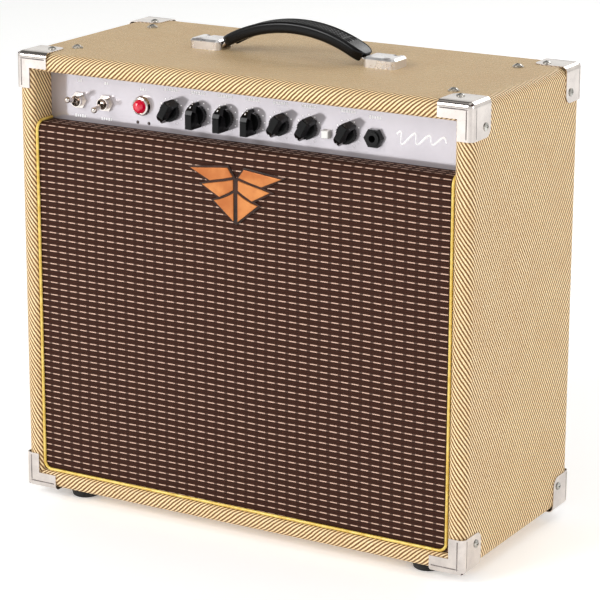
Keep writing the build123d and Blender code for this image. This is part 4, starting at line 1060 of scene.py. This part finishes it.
def stage():
    """A pale floor, and a sky that is bright round the horizon and darker higher up."""
    corners = [(-FLOOR_REACH, -FLOOR_REACH, 0), (FLOOR_REACH, -FLOOR_REACH, 0),
               (FLOOR_REACH, FLOOR_REACH, 0), (-FLOOR_REACH, FLOOR_REACH, 0)]
    floor_mesh = mesh_from("floor", corners, [(0, 1, 2, 3)])
    floor = bpy.data.objects.new("floor", floor_mesh)
    bpy.context.scene.collection.objects.link(floor)
    pale = Shader("floor_pale")
    spots = pale.noise(pale.object_place(), 3.0, 2.0)
    pale.set(Base_Color=pale.mix(spots, (0.95, 0.95, 0.95, 1), (0.97, 0.97, 0.97, 1)))
    pale.set(Roughness=0.7, Emission_Color=(1.0, 1.0, 1.0, 1), Emission_Strength=0.26)
    floor_mesh.materials.append(pale.material)
    world = bpy.data.worlds.new("studio")
    bpy.context.scene.world = world
    world.use_nodes = True
    sky = world.node_tree.nodes["Background"]
    tree = world.node_tree
    direction = tree.nodes.new("ShaderNodeTexCoord")
    split = tree.nodes.new("ShaderNodeSeparateXYZ")
    ramp = tree.nodes.new("ShaderNodeValToRGB")
    tree.links.new(direction.outputs["Generated"], split.inputs[0])
    tree.links.new(split.outputs[2], ramp.inputs[0])
    tree.links.new(ramp.outputs[0], sky.inputs["Color"])
    ramp.color_ramp.elements.remove(ramp.color_ramp.elements[1])
    for i, (level, grey) in enumerate(SKY_BANDS):
        stop = ramp.color_ramp.elements[0] if i == 0 else ramp.color_ramp.elements.new(level)
        stop.position = level
        stop.color = (grey, grey, grey * SKY_WARMTH, 1)
    sky.inputs["Strength"].default_value = SKY_STRENGTH


def soft_light(name, place, size, power):
    """A rectangular lamp that faces the middle of the object."""
    lamp = bpy.data.lights.new(name, "AREA")
    lamp.shape = "RECTANGLE"
    lamp.size, lamp.size_y = size
    lamp.energy = power
    made = bpy.data.objects.new(name, lamp)
    made.location = place
    made.rotation_mode = "QUATERNION"
    made.rotation_quaternion = (Vector(AIM) - Vector(place)).to_track_quat("-Z", "Y")
    bpy.context.scene.collection.objects.link(made)


def camera():
    """The photograph's viewpoint: in front, to the right and a little above."""
    data = bpy.data.cameras.new("camera")
    data.lens = LENS
    data.sensor_width = SENSOR
    made = bpy.data.objects.new("camera", data)
    made.location = CAMERA_PLACE
    azimuth, elevation, roll = (math.radians(v) for v in CAMERA_ANGLES)
    back = Vector((math.sin(azimuth) * math.cos(elevation), -math.cos(azimuth) * math.cos(elevation),
                   math.sin(elevation)))
    made.rotation_mode = "QUATERNION"
    made.rotation_quaternion = (-back).to_track_quat("-Z", "Y")
    made.rotation_quaternion = made.rotation_quaternion @ Euler((0, 0, roll)).to_quaternion()
    bpy.context.scene.collection.objects.link(made)
    bpy.context.scene.camera = made


stage()
soft_light("key", (-1.4, -2.6, 2.0), (1.6, 1.6), 66)
soft_light("side", (2.8, -0.6, 1.5), (1.4, 1.8), 20)
soft_light("back", (0.6, 2.6, 2.2), (2.0, 1.4), 30)
camera()
bpy.context.scene.view_settings.view_transform = "Standard"
